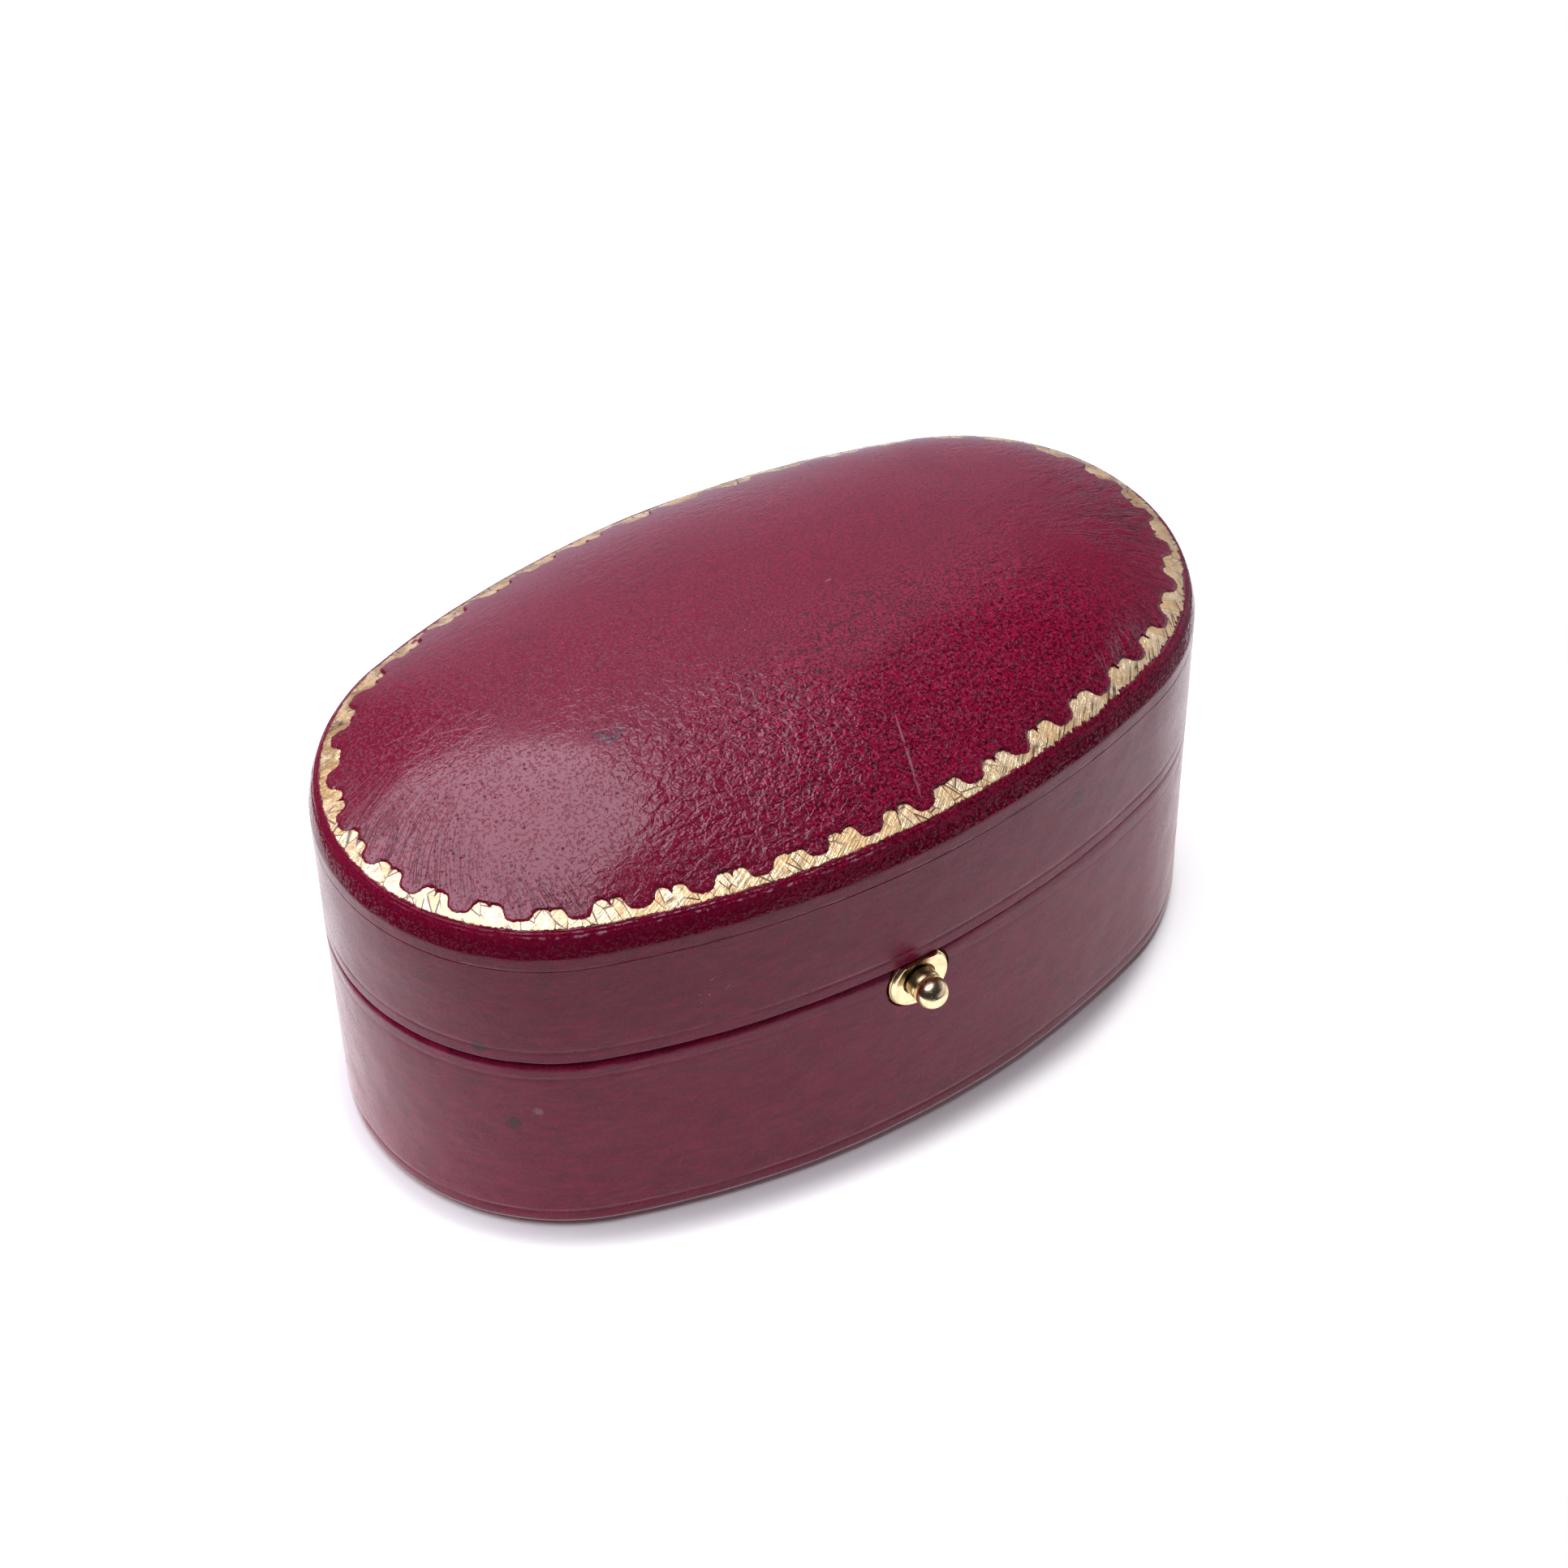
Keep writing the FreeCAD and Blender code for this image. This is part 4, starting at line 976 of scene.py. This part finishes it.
def gilt_border():
    """The gold leaf itself: a thin skin on the tooled leather."""
    columns = even_columns(3200)
    signed = (columns.along + GILT_LENGTH / 2) % GILT_LENGTH - GILT_LENGTH / 2
    outer, inner = gilt_outer(signed), gilt_inner(signed)
    top, under, over, rim = [], [], [], []
    for share in (0, 0.04, 0.1, 0.22, 0.36, 0.5, 0.64, 0.78, 0.9, 0.96, 1):
        depth = outer + (inner - outer) * share
        x, y = columns.plan(GILT_INSET + depth)
        point = np.stack([x, y, top_level(x, y)], -1)
        normal = surface_normals(x, y)
        crumple = 0.03 * noise(30, signed / 0.7, depth / 0.5) + 0.012 * noise(31, signed / 0.25, depth / 0.25)
        edge = 0.0 if share in (0, 1) else 0.02
        top.append(point + normal * (edge + 0.05 + crumple - pressed(depth))[:, None])
        under.append(point - normal * (pressed(depth) + 0.03)[:, None])
        over.append(depth)
        rim.append(np.minimum(depth - outer, inner - depth))
    rings = top + under[::-1]
    piece = ring_piece("gilt_border", rings, 60, closed=True)
    add_attribute(piece, "along", np.tile(signed, len(rings)))
    add_attribute(piece, "across", np.concatenate(over + over[::-1]))
    add_attribute(piece, "rim", np.concatenate(rim + rim[::-1]))
    return piece


settle(gilt_border(), "lid", None, gilt)


# Lining and cushions

def lining_push(columns, inset, level):
    """Slight unevenness of a cloth lining's inner face."""
    x, y = columns.plan(0)
    return -np.abs(step(3.5, 3.7, inset) * 0.06 * noise(40, x / 6, y / 6, level / 5))


def inner_wall(inset, high, low, spacing=1.0):
    return [(inset, level) for level in np.linspace(high, low, max(2, int(abs(high - low) / spacing)))]


velvet_outline = (
    [(3.3, 3.1), (3.3, 19.3), (3.42, 19.43), (3.55, 19.45), (4.0, 19.45), (4.0, 20.2)]
    + arc((4.3, 20.2), 0.3, 180, 0, 9)
    + inner_wall(4.6, 19.9, 3.1)
)
velvet_lining = swept("velvet_base_lining", velvet_outline, 480, lining_push)
settle(velvet_lining, "base", "cream_velvet", velvet, "base_lining")

satin_outline = (
    [(3.3, 30.4), (3.3, 19.95), (3.4, 19.82), (3.55, 19.82)]
    + inner_wall(3.7, 19.95, 30.4)
)
satin_lining = swept("satin_lid_lining", satin_outline, 480, lining_push)
carve(satin_lining, "DIFFERENCE", box_piece("hook_opening", (-1.8, -25, 15), (1.8, -15, 22.05)))
settle(satin_lining, "lid", "cream_satin", satin, "lid_lining")


def plump(piece, limits, voxel=0.5, pressure=4.0, most=0.7):
    """Swell a cushion as stuffed cloth. The cloth is worked at ten times its size, then brought back."""
    piece.data.transform(Matrix.Scale(10, 4))
    remesh = piece.modifiers.new("remesh", "REMESH")
    remesh.mode = "VOXEL"
    remesh.voxel_size = voxel * MM * 10
    apply_modifiers(piece)
    start = coordinates(piece.data)
    cloth = piece.modifiers.new("cloth", "CLOTH").settings
    cloth.use_pressure = True
    cloth.uniform_pressure_force = pressure
    cloth.effector_weights.gravity = 0
    for number in range(1, 21):
        bpy.context.scene.frame_set(number)
    apply_modifiers(piece)
    bpy.context.scene.frame_set(1)
    moved = coordinates(piece.data) - start
    length = np.linalg.norm(moved, axis=1, keepdims=True)
    placed = start + moved * np.minimum(1, most * MM * 10 / np.maximum(length, 1e-9))
    placed = limits(placed / (10 * MM)) * MM
    piece.data.vertices.foreach_set("co", placed.ravel())
    piece.data.update()
    piece.data.shade_smooth()
    return piece


def keep_inside(points, inset, low, high):
    """Points moved inside an upright wall at an inset, and between two levels."""
    along, depth = locate(points[:, 0], points[:, 1])
    columns = Columns(along)
    x, y = columns.plan(inset)
    outside = depth + GILT_INSET < inset
    kept = points.copy()
    kept[:, 0] = np.where(outside, x, points[:, 0])
    kept[:, 1] = np.where(outside, y, points[:, 1])
    kept[:, 2] = np.clip(points[:, 2], low, high)
    return kept


PAD_FOOT, PAD_TOP, PAD_INSET = 4.1, 14.1, 4.8
SLOT_HALF = 1.2


def roll_outline(count):
    """Plan of one ring cushion, in front of the slot, with its two corners rounded."""
    along = np.linspace(-QUARTER, QUARTER, count)
    x, y = Columns(along).plan(PAD_INSET)
    reach = np.abs(x).max()
    back = np.linspace(1, -1, count // 2)[1:-1]
    x = np.concatenate([x, reach * back])
    y = np.concatenate([y, np.zeros_like(back)])
    soft = np.minimum(-y, 2.2) / 2.2
    draw_in = 1 - 0.045 * (1 - soft) ** 2 * step(0.7, 1, np.abs(x) / reach)
    return np.stack([x * draw_in, np.minimum(y - SLOT_HALF * (1 - soft) ** 0.7, -SLOT_HALF)], -1)


def ring_cushion(name, side):
    """A crowned roll with a drawn-in foot, before it is plumped."""
    outline = roll_outline(120)
    spine = np.stack([np.clip(outline[:, 0], -21, 21) * 0.96, np.full(len(outline), -8.6)], -1)
    rings = []
    profile = [(0.90, PAD_FOOT), (0.955, PAD_FOOT + 0.5), (0.985, PAD_FOOT + 2), (0.985, PAD_FOOT + 5)]
    for angle in np.linspace(0, 84, 12):
        turn = math.radians(angle)
        profile.append((0.985 - 0.62 * (1 - math.cos(turn)), PAD_FOOT + 5.4 + 4.1 * math.sin(turn)))
    profile += [(0.2, PAD_FOOT + 9.62)]
    for share, level in profile:
        plan = spine + share * (outline - spine)
        rings.append(np.column_stack([plan, np.full(len(plan), level)]))
    points = np.concatenate(rings)
    points[:, 1] *= side
    piece = make_piece(name, points, joined(rings, closed=False), 180)

    def limits(placed):
        kept = keep_inside(placed, PAD_INSET - 0.1, PAD_FOOT, PAD_TOP + 0.4)
        kept[:, 1] = side * np.minimum(kept[:, 1] * side, -0.75)
        return kept

    return plump(piece, limits)


for name, side, node in (
    ("velvet_ring_roll_front", 1, "ring_pad_front"), ("velvet_ring_roll_back", -1, "ring_pad_back"),
):
    roll = ring_cushion(name, side)
    settle(roll, "base", "cream_velvet", velvet, node)


def flat_cushion(name, inset, profile, count=360):
    """An oval cushion from shares of its plan and levels."""
    columns = even_columns(count)
    rings = []
    for share, level in profile:
        x, y = columns.plan(inset + (1 - share) * 8)
        if share < 0.6:
            x, y = columns.plan(inset + 3.2)
            x, y = x * share / 0.6, y * share / 0.6
        rings.append(np.stack([x, y, np.full(count, level)], -1))
    return ring_piece(name, rings, 180)


LID_PAD_INSET, LID_PAD_TOP, LID_PAD_LOW = 3.9, 30.4, 27.6
pad_profile = [(0.94, LID_PAD_TOP), (0.99, LID_PAD_TOP - 0.4), (0.99, LID_PAD_TOP - 0.9)]
for angle in np.linspace(10, 80, 9):
    turn = math.radians(angle)
    pad_profile.append((0.99 - 0.5 * (1 - math.cos(turn)), LID_PAD_TOP - 0.9 - 1.4 * math.sin(turn)))
pad_profile += [(0.5, LID_PAD_TOP - 2.42), (0.25, LID_PAD_TOP - 2.5), (0.08, LID_PAD_TOP - 2.5)]
lid_cushion = flat_cushion("satin_lid_cushion", LID_PAD_INSET, pad_profile)
plump(
    lid_cushion, lambda placed: keep_inside(placed, LID_PAD_INSET - 0.1, LID_PAD_LOW - 0.4, LID_PAD_TOP),
    voxel=0.6, most=0.5,
)
settle(lid_cushion, "lid", "cream_satin", satin, "lid_pad")


WADDING_FOOT = 32.62


def wadding_dome():
    """The wadding under the cap: flat on the board, full under the leather."""
    rings = []
    for share in (0.3, 0.7, 0.97):
        x, y = plan_rings(even_columns(240), share)
        rings.append(np.stack([x, y, np.full(240, WADDING_FOOT)], -1) * np.array([0.955, 0.955, 1]))
    for share in (0.95, 0.9, 0.84, 0.76, 0.66, 0.54, 0.4, 0.25, 0.1):
        x, y = plan_rings(even_columns(240), share)
        lump = 0.08 * noise(41, x / 4, y / 4)
        rings.append(np.stack([x, y, np.maximum(top_level(x, y) - 0.95 + lump, WADDING_FOOT + 0.08)], -1))
    return ring_piece("cotton_wadding_pad", rings, 180)


wadding_pad = wadding_dome()
settle(wadding_pad, "lid", "wadding", wadding, "lid_padding")


def bottom_sheet():
    """The thin leather panel on the underside, with a skived edge."""
    outline = ((12, 0.4), (1.6, 0.4), (1.5, 0.3), (1.53, 0.12), (1.7, 0.0), (4, 0.0), (12, 0.0))
    return ring_piece(
        "leather_bottom_panel", [even_columns(480).ring(inset, level) for inset, level in outline], 60,
    )


settle(bottom_sheet(), "base", "burgundy_leather", side_leather, "bottom_panel")


# Push button and its catch

PLATE_TOP = 19.4


def catch_face():
    """Plate, collar and guide on the front, with the flange on the rim."""
    front, back = -HALF_WIDTH - 0.1, -HALF_WIDTH + LEATHER
    bevel = (
        (2.7, PLATE_TOP, back), (2.7, PLATE_TOP, front + 0.12), (2.66, PLATE_TOP - 0.04, front + 0.03),
        (2.55, PLATE_TOP - 0.1, front),
    )
    plate = ring_piece("brass_catch_plate", [
        np.array([(x, place, z) for x, z in plate_outline(radius, top)]) for radius, top, place in bevel
    ], 30)
    collar = lathe("collar", [
        (1.0, back), (2.62, back), (2.62, front - 0.05), (2.58, front - 0.16), (2.5, front - 0.24),
        (2.38, front - 0.28), (2.25, front - 0.26), (2.1, front - 0.2), (1.9, front - 0.14),
        (1.7, front - 0.11), (1.2, front - 0.1),
    ], (0, BUTTON_LEVEL))
    guide = lathe("guide", [(1.65, back - 0.05), (1.65, -HALF_WIDTH + 1.7)], (0, BUTTON_LEVEL))
    flange = box_piece(
        "flange", (-FLANGE_HALF, -HALF_WIDTH + 0.8, BASE_WOOD), (FLANGE_HALF, -HALF_WIDTH + 3.3, PLATE_TOP),
    )
    bridge = box_piece("bridge", (-1.85, front + 0.1, BASE_WOOD), (1.85, -HALF_WIDTH + 0.9, PLATE_TOP))
    carve(plate, "UNION", collar, guide, flange, bridge)
    tools = [
        lathe("bore", [
            (1.5, -24), (1.5, front - 0.12), (1.42, front - 0.04), (1.42, -21.45),
        ], (0, BUTTON_LEVEL)),
        lathe("stem_bore", [(1.2, -22), (1.2, -18)], (0, BUTTON_LEVEL)),
        box_piece("mortise", (-1.8, -HALF_WIDTH + 1.7, 4), (1.8, -15, 21)),
        box_piece("top_trim", (-3, -25, PLATE_TOP), (3, -15, 22)),
    ]
    tools += [prism_piece("pin_hole", circle((x, -19.85), 0.4), 2, 18, 20) for x in (-3.4, 3.4)]
    return carve(plate, "DIFFERENCE", *tools, sharp=30)


settle(catch_face(), "base", "aged_brass", bright_brass, "catch_plate")


def ball_button():
    """The button: a turned ball on a stem, which narrows early so that it clears the guide when pressed."""
    middle, radius, stem, wide = -HALF_WIDTH - 1.84, 1.34, 1.15, 1.33
    meet = math.degrees(math.asin(1.24 / radius))
    turns = np.radians(np.concatenate([np.linspace(4, 90, 20), np.linspace(90, 180 - meet, 10)[1:]]))
    profile = [(0.05, middle - radius)]
    profile += [(radius * math.sin(turn), middle - radius * math.cos(turn)) for turn in turns]
    neck = profile[-1][1]
    profile += [(1.23, neck + 0.05), (1.25, neck + 0.12), (1.31, neck + 0.22), (wide, neck + 0.30)]
    profile += [(wide, -22.25), (stem, -22.1), (stem, -20.2), (stem - 0.05, -20.15)]
    profile += [(0.7, -20.15), (0.7, -19.8), (0.65, -19.75)]
    return lathe("brass_push_button", profile, (0, BUTTON_LEVEL), 96)


settle(ball_button(), "button", "aged_brass", bright_brass, "push_button")


SPRING_FOOT = 8.7


def spring_strip():
    """The flat spring with its cranked foot and hook, in short steps so that it bends."""
    path = [
        (1.7, 4.7), (1.7, SPRING_FOOT), (2.2, 10.2), (2.2, 20.35), (1.5, 20.35), (1.5, 20.85), (2.2, 21.75),
        (2.45, 21.75), (2.45, 20.35), (2.45, 10.2), (1.95, SPRING_FOOT), (1.95, 4.7),
    ]
    points = [(-HALF_WIDTH + inset, level) for inset, level in path]
    piece = prism_piece("brass_catch_spring", points, 0, -1.5, 1.5)
    holes = [prism_piece("rivet_hole", circle((x, 6.7), 0.35), 1, -22, -15) for x in (-0.8, 0.8)]
    carve(piece, "DIFFERENCE", *holes)
    shape = bmesh.new()
    shape.from_mesh(piece.data)
    for level in np.arange(8.8, 17.6, 0.4):
        parts = shape.verts[:] + shape.edges[:] + shape.faces[:]
        bmesh.ops.bisect_plane(shape, geom=parts, plane_co=(0, 0, level * MM), plane_no=(0, 0, 1))
    shape.to_mesh(piece.data)
    shape.free()
    return piece


spring = spring_strip()
spring.data.materials.clear()
spring.data.materials.append(brass)
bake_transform(spring)
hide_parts("catch_spring")


# Other CAD pieces keep their shapes and get their materials

CAD_PAINTS = {
    wood: ("base_floor", "base_wall", "lid_wall", "lid_board"),
    card: ("pad_board",),
    brass: (
        "hinge_base_leaf", "hinge_pin", "hinge_base_brads", "catch_plate_pins", "spring_rivets",
        "hinge_lid_leaf", "hinge_lid_brads", "keeper_plate", "keeper_pins", "button_washer",
    ),
}
for paint, names in CAD_PAINTS.items():
    for name in names:
        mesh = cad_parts[name].data
        mesh.materials.clear()
        mesh.materials.append(paint)


# Camera at the photograph's place

AZIMUTH, ELEVATION, ROLL = math.radians(-31.864), math.radians(44.905), math.radians(-1.081)
LENS, SENSOR = 84.205, 36.0
DISTANCE, SIDEWAYS, UPWARDS = 307.92, 1.267, 14.269

back = np.array([
    math.sin(AZIMUTH) * math.cos(ELEVATION), -math.cos(AZIMUTH) * math.cos(ELEVATION), math.sin(ELEVATION),
])
right = np.array([math.cos(AZIMUTH), math.sin(AZIMUTH), 0.0])
up = np.cross(back, right)
camera_right = math.cos(ROLL) * right + math.sin(ROLL) * up
camera_up = -math.sin(ROLL) * right + math.cos(ROLL) * up
camera_place = (back * DISTANCE + camera_right * SIDEWAYS + camera_up * UPWARDS) * MM
camera = bpy.data.objects.new("camera", bpy.data.cameras.new("camera"))
bpy.context.scene.collection.objects.link(camera)
camera.data.lens = LENS
camera.data.sensor_width = SENSOR
camera.data.clip_start = 0.01
camera.matrix_world = Matrix([
    [camera_right[row], camera_up[row], back[row], camera_place[row]] for row in range(3)
] + [[0, 0, 0, 1]])
bpy.context.scene.camera = camera


# Light: a soft box overhead, a white backdrop behind and a pale sheet underneath

softbox = bpy.data.lights.new("overhead_softbox", "AREA")
softbox.shape = "DISK"
softbox.size = 0.960
softbox.energy = 9.7
softbox.color = (1.0, 0.96, 1.10)
lamp = bpy.data.objects.new("overhead_softbox", softbox)
bpy.context.scene.collection.objects.link(lamp)
lamp.location = (-0.300, 0.240, 0.735)

world = bpy.data.worlds.new("studio")
bpy.context.scene.world = world
world.use_nodes = True
sky = Nodes(world.node_tree)
direction = sky.node("TexCoord").outputs["Generated"]
height = sky.node("SeparateXYZ", {0: direction}).outputs[2]
flat = sky.vector("NORMALIZE", sky.vector("MULTIPLY", direction, (1, 1, 0)))
compass = sky.node("SeparateXYZ", {0: flat}).outputs
panel = sky.times(
    sky.ramp(compass[1], 0.52, 0.76), sky.ramp(compass[0], 0.0, 0.12, 0.25, 1),
    sky.ramp(height, 0.80, 0.91, 1, 0),
)
right_wall = sky.times(sky.ramp(compass[0], 0.75, 0.95), sky.ramp(height, 0.4, 0.75, 1, 0))
low_right = sky.times(
    sky.ramp(compass[0], -0.1, 0.6), sky.ramp(compass[1], 0.0, 0.4, 1, 0),
    sky.band(height, -0.1, 0.0, 0.12, 0.4),
)
glow = sky.math("ADD", sky.sum((panel, 0.64), (right_wall, 0.4), (low_right, 1.05)), 0.04)
seen = sky.node("LightPath").outputs["Is Camera Ray"]
sky.tree.links.new(sky.most(glow, seen), sky.tree.nodes["Background"].inputs["Strength"])
tint = sky.node("CombineColor", {
    "Red": sky.ramp(seen, 0, 1, 0.98, 1), "Green": sky.ramp(seen, 0, 1, 0.96, 1),
    "Blue": sky.ramp(seen, 0, 1, 1.15, 1),
}).outputs[0]
sky.tree.links.new(tint, sky.tree.nodes["Background"].inputs["Color"])

FLOOR, FLOOR_SIDES = 80, 96
floor = make_piece(
    "floor", [(x, y, -0.02) for x, y in circle((0, 0), FLOOR, FLOOR_SIDES)], [list(range(FLOOR_SIDES))],
)
floor_paint = Paint("white_floor")
floor_paint.set(Base_Color=(0.89, 0.91, 0.86, 1), Roughness=0.9, Specular_IOR_Level=0.0)
paths = floor_paint.node("LightPath").outputs
# Painted shadow on the floor: its glow for the camera is dimmed near the case by ambient occlusion, and this
# shadow is painted lighter towards +X
glow_with_painted_shadow = floor_paint.node("AmbientOcclusion", {"Distance": 0.006}, samples=16).outputs["AO"]
glow_with_painted_shadow = floor_paint.sum((glow_with_painted_shadow, 1.0), (floor_paint.ramp(floor_paint.part(0), 14, 38), 0.3))
glow_with_painted_shadow = floor_paint.ramp(glow_with_painted_shadow, 0.60, 0.87, 0.02, 0.70)
floor_paint.set(
    Emission_Color=(1, 1, 1, 1),
    Emission_Strength=floor_paint.sum(
        (paths["Is Camera Ray"], glow_with_painted_shadow), (paths["Is Glossy Ray"], 0.9),
        (paths["Is Transmission Ray"], 0.9),
    ),
)
floor.data.materials.append(floor_paint.material)

bpy.context.scene.view_settings.view_transform = "Standard"
